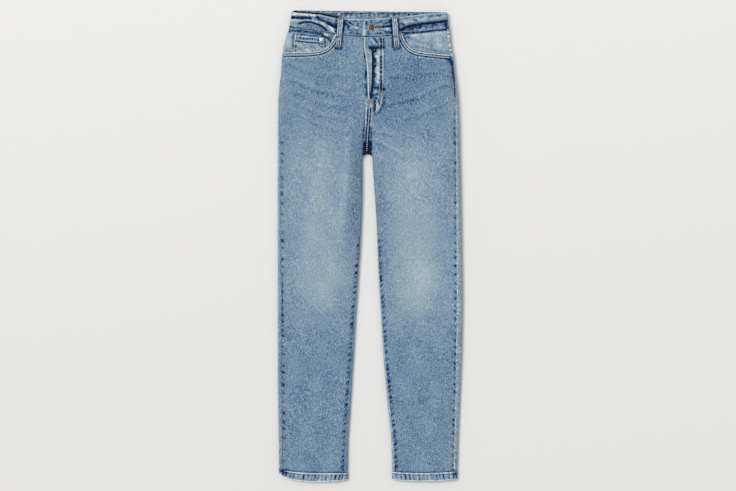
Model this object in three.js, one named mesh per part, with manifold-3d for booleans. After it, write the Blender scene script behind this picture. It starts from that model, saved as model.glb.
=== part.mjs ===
// Straight-leg denim jeans laid flat on their back, front side up. Units are millimetres.
// +X runs across the garment, +Y up to the waist and +Z up from the table. The origin is on the
// table under the middle of the garment. "Right" and "left" are the wearer's, so the right leg
// lies at -X. Every piece of cloth is a wall with an outer face, a plain inner face and cut edges.

import * as THREE from "three";
import { mergeVertices } from "three/addons/utils/BufferGeometryUtils.js";
import Module from "manifold-3d";

const wasm = await Module();
wasm.setup();

// Cloth
const DENIM = 1.5; // wall of one panel
const WAISTBAND_WALL = 2.5; // several layers sewn flat
const HEM_WALL = 2.4; // the leg's end turned up twice
const POCKET_WALL = 1.5;
const SEAM_GAP = 0.3; // between two pieces at a seam
const WAIST_GAP = 0.4; // between a panel and the waistband
const HEM_GAP = 0.55; // between a panel and the hem
const LAYER_GAP = 0.45; // between two pieces that lie on each other

// Lengths along the garment
const FLY_END_Y = 326;
const CROTCH_Y = 207;
const CROTCH_ARCH = 12; // height of the rounded top of the gap between the legs
const CROTCH_X = -6;
const BACK_LIFT = 1.8; // the seat lies on its pockets and loops, this far above the table
const BACK_LIFT_FULL_Y = 250;
const BACK_LIFT_END_Y = 185;

// How the cloth turns over at the silhouette, as horizontal reaches of quarter ellipses
const UNDER_ROLL = 8;
const ARCH_ROLL = 9;
const WAIST_ROLL = 9;

// Silhouette of each leg at its side, down the garment
const SIDE_EDGE = {
  right: [
    { y: 531, x: -175.5 }, { y: 492, x: -182 }, { y: 470, x: -189 }, { y: 447, x: -194.5 },
    { y: 425, x: -198 }, { y: 387, x: -201 }, { y: 355, x: -204.7 }, { y: 320, x: -207 },
    { y: 200, x: -207.6 }, { y: 60, x: -208 }, { y: -100, x: -208 }, { y: -300, x: -207.6 },
    { y: -400, x: -206.5 }, { y: -490, x: -205 }, { y: -531, x: -203 },
  ],
  left: [
    { y: 531, x: 173.5 }, { y: 492, x: 178 }, { y: 470, x: 180.5 }, { y: 447, x: 183 },
    { y: 425, x: 187.5 }, { y: 387, x: 191.5 }, { y: 355, x: 195.5 }, { y: 320, x: 198.5 },
    { y: 200, x: 202.5 }, { y: 70, x: 205 }, { y: -22, x: 206.5 }, { y: -120, x: 208 },
    { y: -240, x: 206 }, { y: -370, x: 201 }, { y: -430, x: 198.5 }, { y: -500, x: 196.5 },
    { y: -531, x: 195.5 },
  ],
};

// Silhouette of each leg at its inner edge, below the crotch
const INNER_EDGE = {
  right: [
    { y: 195, x: -17.4 }, { y: 103, x: -18 }, { y: 40, x: -20.3 }, { y: 0, x: -22.2 },
    { y: -72, x: -27 }, { y: -158, x: -32.6 }, { y: -245, x: -37.6 }, { y: -365, x: -45 },
    { y: -450, x: -50 }, { y: -531, x: -51 },
  ],
  left: [
    { y: 195, x: 5.4 }, { y: 160, x: 7.4 }, { y: 103, x: 11.7 }, { y: 40, x: 15.2 },
    { y: -72, x: 19.5 }, { y: -158, x: 24.8 }, { y: -245, x: 30 }, { y: -365, x: 40.5 },
    { y: -450, x: 48.5 }, { y: -531, x: 50.6 },
  ],
};

// Centre front and centre back seam
const CENTRE = [
  { y: 531, x: 1.5 }, { y: 472, x: -1 }, { y: 315, x: -2.8 }, { y: CROTCH_Y, x: CROTCH_X },
];

// Cross sections: crown is the top of the cloth, edge the height at which it turns over at the
// silhouette, seam the floor of the valley at the centre seam, sideRoll and the two inner rolls
// how far the top takes to turn down to each edge. The seam offsets say how far in from the
// silhouette each seam shows on top.
const SECTION = [
  { y: 531, crown: 16.0, edge: 8.0, seam: 16.0, sideRoll: 9, innerRollRight: 26,
    innerRollLeft: 16, outseamRight: 1.2, outseamLeft: 5, inseamRight: 0, inseamLeft: 0 },
  { y: 472, crown: 16.2, edge: 8.0, seam: 16.2, sideRoll: 11, innerRollRight: 26,
    innerRollLeft: 16, outseamRight: 1.2, outseamLeft: 6, inseamRight: 0, inseamLeft: 0 },
  { y: 400, crown: 17.4, edge: 8.2, seam: 17.0, sideRoll: 13, innerRollRight: 26,
    innerRollLeft: 16, outseamRight: 1.5, outseamLeft: 5, inseamRight: 0, inseamLeft: 0 },
  { y: 300, crown: 17.6, edge: 8.0, seam: 16.2, sideRoll: 14, innerRollRight: 26,
    innerRollLeft: 16, outseamRight: 3, outseamLeft: 6, inseamRight: 0, inseamLeft: 0 },
  { y: 250, crown: 17.4, edge: 7.8, seam: 13.0, sideRoll: 14, innerRollRight: 26,
    innerRollLeft: 17, outseamRight: 5, outseamLeft: 7.5, inseamRight: 0, inseamLeft: 0 },
  { y: CROTCH_Y, crown: 17.2, edge: 5.8, seam: 9.0, sideRoll: 14, innerRollRight: 28,
    innerRollLeft: 18, outseamRight: 6, outseamLeft: 8.5, inseamRight: 0, inseamLeft: 0 },
  { y: 100, crown: 16.8, edge: 6.2, seam: 9.0, sideRoll: 14, innerRollRight: 36,
    innerRollLeft: 20, outseamRight: 6.5, outseamLeft: 10, inseamRight: 0, inseamLeft: 0 },
  { y: 0, crown: 15.8, edge: 6.4, seam: 9.0, sideRoll: 14, innerRollRight: 40,
    innerRollLeft: 20, outseamRight: 7, outseamLeft: 11.5, inseamRight: 1.0, inseamLeft: 1.5 },
  { y: -160, crown: 13.8, edge: 6.0, seam: 9.0, sideRoll: 13, innerRollRight: 34,
    innerRollLeft: 18, outseamRight: 8, outseamLeft: 13, inseamRight: 3.5, inseamLeft: 3 },
  { y: -350, crown: 12.0, edge: 5.4, seam: 8.0, sideRoll: 12, innerRollRight: 22,
    innerRollLeft: 15, outseamRight: 9, outseamLeft: 9.5, inseamRight: 6, inseamLeft: 5 },
  { y: -531, crown: 10.6, edge: 5.0, seam: 7.0, sideRoll: 11, innerRollRight: 13,
    innerRollLeft: 12, outseamRight: 9, outseamLeft: 7, inseamRight: 8, inseamLeft: 6 },
];

// The seam where the waistband joins the front, the front edge that shows at the top, and the
// lower edge of the waistband behind
const WAIST_SEAM = [
  { x: -190, y: 492.3 }, { x: -170, y: 490.7 }, { x: -133, y: 486 }, { x: -94, y: 479.3 },
  { x: -74, y: 476 }, { x: -45, y: 473 }, { x: -14, y: 470 }, { x: 22, y: 471.4 },
  { x: 47, y: 473.6 }, { x: 70, y: 479 }, { x: 112, y: 481.5 }, { x: 171, y: 487.8 },
  { x: 190, y: 489 },
];
const WAIST_TOP_FRONT = [
  { x: -176, y: 525.4 }, { x: -130, y: 521.5 }, { x: -108, y: 518.6 }, { x: -74, y: 512 },
  { x: -45, y: 510.7 }, { x: -14, y: 509.8 }, { x: 22, y: 511.2 }, { x: 47, y: 513 },
  { x: 63, y: 514.2 }, { x: 90, y: 517.7 }, { x: 135, y: 522.5 }, { x: 174, y: 525 },
];
const WAIST_TOP_BACK = [
  { x: -176, y: 531 }, { x: -150, y: 530.4 }, { x: 0, y: 528.6 }, { x: 100, y: 527.4 },
  { x: 174, y: 526.8 },
];
const WAIST_BOTTOM_BACK = [
  { x: -190, y: 492.3 }, { x: -170, y: 490.7 }, { x: 0, y: 488.2 }, { x: 171, y: 487.8 },
  { x: 190, y: 489 },
];
const WAISTBAND_TOP = 17.2; // height of its outer face in front
const OVERLAP_END_X = -14.6;
const UNDERLAP_END_X = 15;
const UNDERLAP_DROP = 3.3;

// Opening of each front pocket: the edge of the front panel, from the side seam to the waistband
const POCKET_MOUTH = {
  right: [
    { x: -196, y: 435.6 }, { x: -176, y: 435.6 }, { x: -153, y: 436 }, { x: -132, y: 437 },
    { x: -117, y: 438.8 }, { x: -106, y: 442 }, { x: -97, y: 447 }, { x: -91, y: 453 },
    { x: -86, y: 460.5 }, { x: -80, y: 472 }, { x: -77, y: 477 },
  ],
  left: [
    { x: 188, y: 429.2 }, { x: 167, y: 430.8 }, { x: 150, y: 432.6 }, { x: 131, y: 434.6 },
    { x: 113, y: 436.8 }, { x: 101, y: 439.6 }, { x: 92, y: 444.5 }, { x: 86, y: 450.5 },
    { x: 81, y: 457.5 }, { x: 76, y: 467 }, { x: 72, y: 479 },
  ],
};
const MOUTH_DEPTH = { right: 3.8, left: 2.7 }; // how far the facing lies below the front's edge
const FACING_STEPS = [-4, 2, 5.5, 9, 12.5, 16]; // its rows, as distances above the mouth
const FACING_RISE = { from: 2, to: 16 }; // where it comes up to the waistband's level
const FACING_TUCK = 11; // how far it reaches under the front panel
const FACING_END_X = { right: -64, left: 60 };

// The coin pocket on the right facing
const COIN = { left: -170.5, right: -104, topLeftY: 473.6, topRightY: 467.6, wall: 1.2 };
const RIVET = { x: -110.2, inset: 5.2, radius: 3.8, height: 1.5 };

// Fly: the left front laps over the right, down to the fly's end
const FLY_EDGE = [
  { y: 476, x: -14.3 }, { y: 462, x: -13 }, { y: 441, x: -9.6 }, { y: 396, x: -6.2 },
  { y: 351, x: -4.6 }, { y: 300, x: -3.4 },
];
const FLY_RAISE = 2.2;
const FLY_FLAT_X = 24; // the lap is level to here
const FLY_FOOT_X = 35; // and has come down to the panel here
const FLY_FOOT_Y = 302;
const FLY_TROUGH = { line: [[9, 452], [6, 360]], rise: -1.2, reach: 5 };
const UNDERLAP = { right: 20, topY: 467, bottomY: 331, sink: 1.5 };

// Creases and ridges of the front: a line in plan, how far it stands up (or sinks) and its reach
const CREASES = [
  { name: "ridge inside the right thigh", line: [[-38, 300], [-52, 170], [-66, -20]],
    rise: 1.5, reach: 10 },
  { name: "drag at the left hip", line: [[183, 412], [189, 352]], rise: -2.6, reach: 6 },
  { name: "hollow under the left pocket", line: [[128, 424], [172, 419]],
    rise: -1.6, reach: 7 },
  { name: "hollow beside the crotch, right", line: [[-26, 250], [-88, 292]],
    rise: -1.0, reach: 10 },
  { name: "hollow beside the crotch, left", line: [[14, 250], [74, 286]],
    rise: -1.0, reach: 10 },
  { name: "right knee slack", line: [[-176, -120], [-90, -150]], rise: 0.9, reach: 26 },
  { name: "left knee slack", line: [[70, -140], [160, -118]], rise: 0.9, reach: 26 },
];

// Folds that have slumped into the waistband
const WAIST_FOLDS = [
  { name: "right side, upper", line: [[-182, 513], [-133, 512.5]], rise: -4.0, reach: 4.5 },
  { name: "beside the right loop", line: [[-114, 513], [-72, 488]], rise: -3.8, reach: 4.5 },
  { name: "right side, lower", line: [[-160, 499], [-140, 504], [-98, 489]],
    rise: -3.2, reach: 4 },
  { name: "left side", line: [[72, 487], [100, 497], [184, 507]], rise: -4.8, reach: 5 },
];

// Hem line and foot of each leg, across
const HEM = {
  right: [
    { x: -208, seam: -500, foot: -512 }, { x: -201, seam: -502, foot: -515.5 },
    { x: -184, seam: -505.8, foot: -523.5 }, { x: -160, seam: -508.4, foot: -528.6 },
    { x: -125, seam: -510.2, foot: -531 }, { x: -82, seam: -510.4, foot: -530 },
    { x: -48, seam: -511, foot: -526 },
  ],
  left: [
    { x: 48, seam: -507.4, foot: -526 }, { x: 80, seam: -509.4, foot: -528.4 },
    { x: 119, seam: -510.4, foot: -529.6 }, { x: 160, seam: -509, foot: -528.4 },
    { x: 198, seam: -506, foot: -525.4 },
  ],
};
const HEM_PROUD = 0.6; // the hem stands out this far from the leg

// Belt loops, 13 mm wide
const LOOP = { width: 13, wall: 1.5 };
const FRONT_LOOPS = [
  { name: "belt_loop_front_right", top: [-65.5, 513], foot: [-71.5, 447], leg: "right" },
  { name: "belt_loop_front_left", top: [54.8, 515.5], foot: [60.4, 447], leg: "left" },
];
const BACK_LOOPS = [
  { name: "belt_loop_back_right", x: -112, lean: 0, topY: 529.5, footY: 470 },
  { name: "belt_loop_back_centre", x: 1, lean: 0, topY: 528.2, footY: 468 },
  { name: "belt_loop_back_left", x: 112, lean: 0, topY: 527, footY: 470 },
];

// Back yokes and back pockets
const YOKE_SEAM = { side: 449, centre: 416 };
const BACK_POCKET = { width: 134, foot: 112, height: 146, point: 22, corner: 6, x: 92, topY: 412,
  tilt: 0.035 };

// Button on the waistband's overlap, and the buttonhole that it stands in
const BUTTON = { x: 4, y: 491.6, radius: 8.5, rim: 1.1, dome: 2.6, shank: 2.2 };
const BUTTONHOLE = { eye: 2.9, length: 21, width: 1.5 };

const DENIM_BLUE = new THREE.MeshStandardMaterial({ color: 0x7f9cbb, roughness: 0.92 });
const FACING_BLUE = new THREE.MeshStandardMaterial({ color: 0x9db2c4, roughness: 0.92 });
const BAND_BLUE = new THREE.MeshStandardMaterial({ color: 0x7592b0, roughness: 0.92 });
const LOOP_BLUE = new THREE.MeshStandardMaterial({ color: 0x93a4b4, roughness: 0.92 });
const BRASS = new THREE.MeshStandardMaterial({ color: 0x9a7b4f, roughness: 0.4, metalness: 1 });
const NICKEL = new THREE.MeshStandardMaterial({ color: 0xd8d6d0, roughness: 0.35, metalness: 1 });

const LEGS = { right: { sign: -1, Name: "Right" }, left: { sign: 1, Name: "Left" } };

const mix = (a, b, t) => a + (b - a) * t;
const clamp01 = (t) => Math.min(1, Math.max(0, t));
const ease = (from, to, at) => {
  const t = clamp01((at - from) / (to - from));
  return t * t * (3 - 2 * t);
};
const quarter = (distance, reach) => {
  const t = 1 - clamp01(distance / reach);
  return Math.sqrt(1 - t * t);
};

// A column of a table read between its rows, as a monotone cubic through them
function along(table, column, at, key = "y") {
  const rows = table;
  const falling = rows[0][key] > rows[rows.length - 1][key];
  const before = (a, b) => (falling ? a > b : a < b);
  let i = 0;
  while (i < rows.length - 2 && !before(at, rows[i + 1][key])) i += 1;
  const slope = (k) =>
    (rows[k + 1][column] - rows[k][column]) / (rows[k + 1][key] - rows[k][key]);
  const tangent = (k) => {
    if (k === 0) return slope(0);
    if (k === rows.length - 1) return slope(k - 1);
    const a = slope(k - 1);
    const b = slope(k);
    return a * b <= 0 ? 0 : (2 * a * b) / (a + b);
  };
  const span = rows[i + 1][key] - rows[i][key];
  const t = clamp01((at - rows[i][key]) / span);
  const t2 = t * t;
  const t3 = t2 * t;
  return (
    (2 * t3 - 3 * t2 + 1) * rows[i][column] +
    (t3 - 2 * t2 + t) * span * tangent(i) +
    (3 * t2 - 2 * t3) * rows[i + 1][column] +
    (t3 - t2) * span * tangent(i + 1)
  );
}

// Distance from a point in plan to a line between two points
function distanceToLine(x, y, [x0, y0], [x1, y1]) {
  const dx = x1 - x0;
  const dy = y1 - y0;
  const t = clamp01(((x - x0) * dx + (y - y0) * dy) / (dx * dx + dy * dy));
  return Math.hypot(x - x0 - t * dx, y - y0 - t * dy);
}

const distanceToPath = (x, y, path) =>
  path.slice(1).reduce((least, to, i) => Math.min(least, distanceToLine(x, y, path[i], to)), Infinity);

const creaseHeight = (creases, x, y) =>
  creases.reduce((sum, { line, rise, reach }) => {
    const d = distanceToPath(x, y, line) / reach;
    return sum + rise * Math.exp(-d * d);
  }, 0);

const section = (column, y) => along(SECTION, column, y);
const centreX = (y) => along(CENTRE, "x", y);
const sideX = (leg, y) => along(SIDE_EDGE[leg], "x", y);
const waistSeamY = (x) => along(WAIST_SEAM, "y", x, "x");
const backLift = (y) => BACK_LIFT * ease(BACK_LIFT_END_Y, BACK_LIFT_FULL_Y, y);

// The gap between the legs has a rounded top at the crotch. Below the spring of that arch its
// edge is the leg's inner silhouette.
const ARCH_SPRING_Y = CROTCH_Y - CROTCH_ARCH;
const archHalfWidth = (leg) =>
  Math.abs(along(INNER_EDGE[leg], "x", ARCH_SPRING_Y) - CROTCH_X);

function innerX(leg, y) {
  const { sign } = LEGS[leg];
  if (y >= CROTCH_Y) return centreX(y) + (sign * SEAM_GAP) / 2;
  if (y <= ARCH_SPRING_Y) return along(INNER_EDGE[leg], "x", y);
  const up = (y - ARCH_SPRING_Y) / CROTCH_ARCH;
  const across = archHalfWidth(leg) * Math.sqrt(1 - up * up);
  return CROTCH_X + sign * Math.max(across, SEAM_GAP / 2);
}

function distanceToGap(leg, x, y) {
  const { sign } = LEGS[leg];
  if (y <= ARCH_SPRING_Y) return Math.max(0, sign * (x - along(INNER_EDGE[leg], "x", y)));
  const half = archHalfWidth(leg);
  const reach = Math.hypot((x - CROTCH_X) / half, (y - ARCH_SPRING_Y) / CROTCH_ARCH);
  return Math.max(0, (reach - 1) * half);
}

function innerRoll(leg, y) {
  const roll = section(`innerRoll${LEGS[leg].Name}`, y);
  return mix(ARCH_ROLL, roll, ease(CROTCH_Y, ARCH_SPRING_Y - 25, y));
}

const gapOf = (leg, x, y) => (y > CROTCH_Y + 10 ? Infinity : distanceToGap(leg, x, y));

const VALLEY_FLOOR = 4;
const VALLEY_REACH = 26;

// Outer face of the front, as a height over the plan
function frontHeight(leg, x, y) {
  const crown = section("crown", y);
  const edge = section("edge", y);
  const fromSide = Math.abs(sideX(leg, y) - x);
  const sideDrop = (crown - edge) * (1 - quarter(fromSide, section("sideRoll", y)));
  const fromCentre = Math.abs(x - centreX(Math.max(y, CROTCH_Y)));
  const valleyFades = ease(ARCH_SPRING_Y - 30, CROTCH_Y, y);
  const valley =
    (crown - section("seam", y)) *
    (1 - ease(VALLEY_FLOOR, VALLEY_FLOOR + VALLEY_REACH, fromCentre)) *
    valleyFades;
  const surface = crown - sideDrop - valley;
  const gap = quarter(distanceToGap(leg, x, y), innerRoll(leg, y));
  const creased = creaseHeight(CREASES, x, y) * ease(1, 9, Math.min(fromSide, gapOf(leg, x, y)));
  return mix(edge, surface, gap) + creased;
}

// Outer face of the back, on the table
function backHeight(leg, x, y) {
  const lift = backLift(y);
  const edge = section("edge", y);
  const fromSide = Math.abs(sideX(leg, y) - x);
  const sideRise = (edge - lift) * (1 - quarter(fromSide, UNDER_ROLL));
  const innerRise = (edge - lift) * (1 - quarter(distanceToGap(leg, x, y), UNDER_ROLL));
  return Math.min(edge - SEAM_GAP / 2, lift + sideRise + innerRise);
}

// The lap of the fly stands up by two thicknesses and sinks between its edge and its stitching
function flyRaise(x, y) {
  const raise = FLY_RAISE * ease(FLY_FOOT_X, FLY_FLAT_X, x) * ease(FLY_FOOT_Y, FLY_END_Y - 2, y);
  return raise + creaseHeight([FLY_TROUGH], x, y);
}

// The angle on a silhouette's roll at which a seam lies, moved by half the seam's gap
function seamAngle(offset, roll, height, direction) {
  const angle = Math.acos(1 - clamp01(offset / roll));
  const speed = Math.hypot(roll * Math.sin(angle), height * Math.cos(angle));
  return angle + (direction * SEAM_GAP) / 2 / speed;
}

function seamDistances(leg, y, direction) {
  const { Name } = LEGS[leg];
  const height = section("crown", y) - section("edge", y);
  const sideRoll = section("sideRoll", y);
  const out = seamAngle(section(`outseam${Name}`, y), sideRoll, height, direction);
  const roll = innerRoll(leg, y);
  const inn = seamAngle(section(`inseam${Name}`, y), roll, height, direction);
  return { out, inn, sideRoll, roll };
}

// Plan limits of the front panel at one height of the garment
function frontLimits(leg, y) {
  const { sign } = LEGS[leg];
  const { out, inn, sideRoll, roll } = seamDistances(leg, y, 1);
  const side = sideX(leg, y) - sign * sideRoll * (1 - Math.cos(out));
  let inner = innerX(leg, y);
  if (y < CROTCH_Y) inner += sign * roll * (1 - Math.cos(inn));
  if (leg === "left" && y > FLY_END_Y) {
    inner = Math.min(inner, mix(inner, along(FLY_EDGE, "x", y), ease(FLY_END_Y, FLY_END_Y + 12, y)));
  }
  return { side, inner };
}

// A point of cloth on the top of the garment, with the direction that its outer face looks in
const STEP = 0.004;
function onTop(leg, x, y, relief = 0) {
  const rise = (dx, dy) =>
    frontHeight(leg, x + dx, y + dy) - frontHeight(leg, x - dx, y - dy);
  const slope = [rise(STEP, 0) / (2 * STEP), rise(0, STEP) / (2 * STEP)];
  const look = new THREE.Vector3(-slope[0], -slope[1], 1).normalize();
  const z = Math.max(frontHeight(leg, x, y), section("edge", y) + SEAM_GAP / 2);
  return { at: new THREE.Vector3(x, y, z + relief), look };
}

// A wall of cloth from a grid of its outer face: the inner face lies one thickness behind it
function clothWall(grid, thickness, ring = false) {
  const rows = grid.length;
  const columns = grid[0].length;
  const positions = [];
  for (const depth of [0, thickness]) {
    for (const row of grid) {
      for (const { at, look } of row) {
        positions.push(...at.clone().addScaledVector(look, -depth).toArray());
      }
    }
  }
  const outer = (j, i) => j * columns + (i % columns);
  const inner = (j, i) => rows * columns + outer(j, i);
  const triangles = [];
  const quad = (a, b, c, d) => triangles.push([a, b, c], [a, c, d]);
  const across = ring ? columns : columns - 1;
  for (let j = 0; j < rows - 1; j += 1) {
    for (let i = 0; i < across; i += 1) {
      quad(outer(j, i), outer(j, i + 1), outer(j + 1, i + 1), outer(j + 1, i));
      quad(inner(j, i), inner(j + 1, i), inner(j + 1, i + 1), inner(j, i + 1));
    }
  }
  for (let i = 0; i < across; i += 1) {
    quad(inner(0, i), inner(0, i + 1), outer(0, i + 1), outer(0, i));
    quad(outer(rows - 1, i + 1), inner(rows - 1, i + 1), inner(rows - 1, i), outer(rows - 1, i));
  }
  if (!ring) {
    const end = columns - 1;
    for (let j = 0; j < rows - 1; j += 1) {
      quad(inner(j, 0), outer(j, 0), outer(j + 1, 0), inner(j + 1, 0));
      quad(inner(j, end), inner(j + 1, end), outer(j + 1, end), outer(j, end));
    }
  }
  const a = grid[0][0].at;
  const b = grid[0][1].at.clone().sub(a);
  const c = grid[1][0].at.clone().sub(a);
  const inward = b.cross(c).dot(grid[0][0].look) < 0;
  const geometry = new THREE.BufferGeometry();
  geometry.setAttribute("position", new THREE.Float32BufferAttribute(positions, 3));
  geometry.setIndex(triangles.flatMap(([p, q, r]) => (inward ? [p, r, q] : [p, q, r])));
  return geometry;
}

const garment = new THREE.Group();
function sew(name, geometry, material) {
  geometry.computeVertexNormals();
  const piece = new THREE.Mesh(geometry, material);
  piece.name = name;
  garment.add(piece);
}

const frontRelief = (leg, x, y) => (leg === "left" ? flyRaise(x, y) : 0);

// Rows of the long panels, down to just above the hem seam
const ROW_STATIONS = [
  392, 366, 340, 324, 308, 284, 262, 243, 229, 219, 213, 209.5, CROTCH_Y, 205.8, 203.6, 200,
  ARCH_SPRING_Y, 182, 160, 130, 90, 45, 0, -50, -105, -160, -220, -285, -350, -410, -460, -492,
];

// Rows above the first station, as shares of the way down from the pocket's mouth
const TOP_ROWS = [0, 0.12, 0.42, 0.72];

// Columns of the front: closer at the rolls, one at each point of the pocket's mouth, and on
// the left one at each break of the fly's lap
const INNER_COLUMNS_X = {
  right: [-60, -42, -28, -16, -8, -3.6],
  left: [52, 35, 29, 24, 15, 7, 0, -5],
};

function frontColumns(leg) {
  const { side, inner } = frontLimits(leg, POCKET_MOUTH[leg][0].y);
  const places = [...POCKET_MOUTH[leg].slice(1).map((p) => p.x), ...INNER_COLUMNS_X[leg]];
  const fractions = places.map((x) => (x - side) / (inner - side));
  return [0, 0.012, 0.038, ...fractions, 1];
}

function hemY(leg, x, column, above = 0) {
  return along(HEM[leg], column, x, "x") + above;
}

function frontPanel(leg) {
  const mouth = POCKET_MOUTH[leg];
  const mouthEnd = mouth[mouth.length - 1];
  const { sign } = LEGS[leg];
  const columns = frontColumns(leg);
  const level = frontLimits(leg, mouth[0].y);
  const straight = (fraction, y) => {
    const { side, inner } = frontLimits(leg, y);
    return [mix(side, inner, fraction), y];
  };
  const top = (fraction) => {
    const x = mix(level.side, level.inner, fraction);
    if (sign * (x - mouthEnd.x) > 0) return [x, along(mouth, "y", x, "x")];
    const across = (x - mouthEnd.x) / (level.inner - mouthEnd.x);
    const { inner } = frontLimits(leg, waistSeamY(level.inner));
    const moved = mix(mouthEnd.x, inner, across);
    return [moved, waistSeamY(moved) - WAIST_GAP];
  };
  const rows = TOP_ROWS.map((t) =>
    columns.map((fraction) => {
      const [x0, y0] = top(fraction);
      const y = mix(y0, ROW_STATIONS[0], t);
      return [mix(x0, straight(fraction, y)[0], ease(0, 0.9, t)), y];
    }),
  );
  for (const y of ROW_STATIONS) rows.push(columns.map((fraction) => straight(fraction, y)));
  rows.push(
    columns.map((fraction) => {
      const [x] = straight(fraction, HEM[leg][0].seam);
      return straight(fraction, hemY(leg, x, "seam", HEM_GAP));
    }),
  );
  const grid = rows.map((row) => row.map(([x, y]) => onTop(leg, x, y, frontRelief(leg, x, y))));
  sew(`front_${leg}`, clothWall(grid, DENIM), DENIM_BLUE);
}

// A point of the back, by column: round the side roll, across the table, round the inner roll
const ROLL_COLUMNS = [-1, -0.72, -0.4, 0, 0.5, 1];
const FLAT_COLUMNS = [0.2, 0.5, 0.8];
const BACK_COLUMNS = [
  ...ROLL_COLUMNS.toReversed().map((turn) => ({ at: "side", turn })),
  ...FLAT_COLUMNS.map((t) => ({ at: "table", t })),
  ...ROLL_COLUMNS.map((turn) => ({ at: "inner", turn })),
];

// How far round the roll a column lies, from -90 degrees on the table to the seam
function rollAngle(turn, seam) {
  if (turn < 0) return (turn * Math.PI) / 2;
  return mix(Math.min(0, seam - 0.25), seam, turn);
}

function backPoint(leg, column, y) {
  const { sign } = LEGS[leg];
  const { out, inn, sideRoll, roll } = seamDistances(leg, y, -1);
  const side = sideX(leg, y);
  const inner = innerX(leg, y);
  if (column.at === "table") {
    const x = mix(side - sign * UNDER_ROLL, inner + sign * UNDER_ROLL, column.t);
    return new THREE.Vector3(x, y, backHeight(leg, x, y));
  }
  const atSide = column.at === "side";
  const angle = rollAngle(column.turn, atSide ? out : inn);
  const topReach = atSide ? sideRoll : roll;
  const distance = (angle > 0 ? topReach : UNDER_ROLL) * (1 - Math.cos(angle));
  const x = atSide ? side - sign * distance : inner + sign * distance;
  const z = angle > 0 ? frontHeight(leg, x, y) : backHeight(leg, x, y);
  return new THREE.Vector3(x, y, z);
}

// The level direction that looks out over the silhouette
function outDirection(leg, column, { x, y }) {
  const { sign } = LEGS[leg];
  if (column.at !== "side" && y > ARCH_SPRING_Y) {
    const half = archHalfWidth(leg);
    const dx = (x - CROTCH_X) / half ** 2;
    const dy = (y - ARCH_SPRING_Y) / CROTCH_ARCH ** 2;
    return new THREE.Vector3(-dx, -dy, 0).normalize();
  }
  const edgeX = column.at === "side" ? sideX : innerX;
  const lean = (edgeX(leg, y + STEP) - edgeX(leg, y - STEP)) / (2 * STEP);
  const outward = column.at === "side" ? sign : -sign;
  return new THREE.Vector3(outward, -outward * lean, 0).normalize();
}

function backGridPoint(leg, index, yOf) {
  const column = BACK_COLUMNS[index];
  const y = yOf(index);
  const at = backPoint(leg, column, y);
  if (column.at === "table") return { at, look: new THREE.Vector3(0, 0, -1) };
  const edge = section("edge", y);
  if (at.z > edge) {
    const { look } = onTop(leg, at.x, y);
    return { at, look };
  }
  const away = outDirection(leg, column, at);
  const fromSide = Math.abs(sideX(leg, y) - at.x);
  const distance = column.at === "side" ? fromSide : distanceToGap(leg, at.x, y);
  const cosine = Math.max(0, 1 - distance / UNDER_ROLL);
  const sine = Math.sqrt(1 - cosine * cosine);
  const rise = Math.max(edge - backLift(y), 1);
  const look = away.multiplyScalar(cosine * rise);
  look.z = -sine * UNDER_ROLL;
  return { at, look: look.normalize() };
}

// The yoke's seam runs straight from the side seam down to the centre back
function yokeSeamY(leg, index) {
  const column = BACK_COLUMNS[index];
  if (column.at === "side" && column.turn > 0) return YOKE_SEAM.side;
  const { x } = backPoint(leg, column, YOKE_SEAM.side);
  const side = sideX(leg, YOKE_SEAM.side);
  const share = (x - side) / (centreX(YOKE_SEAM.side) - side);
  return mix(YOKE_SEAM.side, YOKE_SEAM.centre, clamp01(share));
}

function backRows(leg, rows) {
  return rows.map((yOf) => BACK_COLUMNS.map((_, index) => backGridPoint(leg, index, yOf)));
}

function yoke(leg) {
  const top = (index) => {
    const { x } = backPoint(leg, BACK_COLUMNS[index], WAIST_BOTTOM_BACK[1].y);
    return along(WAIST_BOTTOM_BACK, "y", x, "x") - WAIST_GAP;
  };
  const foot = (index) => yokeSeamY(leg, index) + SEAM_GAP / 2;
  const rows = [0, 0.25, 0.5, 0.75, 1].map((t) => (index) => mix(top(index), foot(index), t));
  sew(`yoke_${leg}`, clothWall(backRows(leg, rows), DENIM), DENIM_BLUE);
}

// The back's rows meet the front's at the side, so both cut the outseam at the same places
const shareDown = (y) => (YOKE_SEAM.side - y) / (YOKE_SEAM.side - ROW_STATIONS[0]);

function backPanel(leg) {
  const top = (index) => yokeSeamY(leg, index) - SEAM_GAP / 2;
  const foot = (index) => {
    const x = backPoint(leg, BACK_COLUMNS[index], HEM[leg][0].seam).x;
    return hemY(leg, x, "seam", HEM_GAP);
  };
  const stations = ROW_STATIONS.map((y) => () => y);
  const mouthY0 = POCKET_MOUTH[leg][0].y;
  const upper = [0, 0.5 * shareDown(mouthY0), ...TOP_ROWS.map(
    (t) => shareDown(mix(mouthY0, ROW_STATIONS[0], t)),
  )].map((t) => (index) => mix(top(index), ROW_STATIONS[0], t));
  const rows = [...upper, ...stations, foot];
  sew(`back_${leg}`, clothWall(backRows(leg, rows), DENIM), DENIM_BLUE);
}

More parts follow.
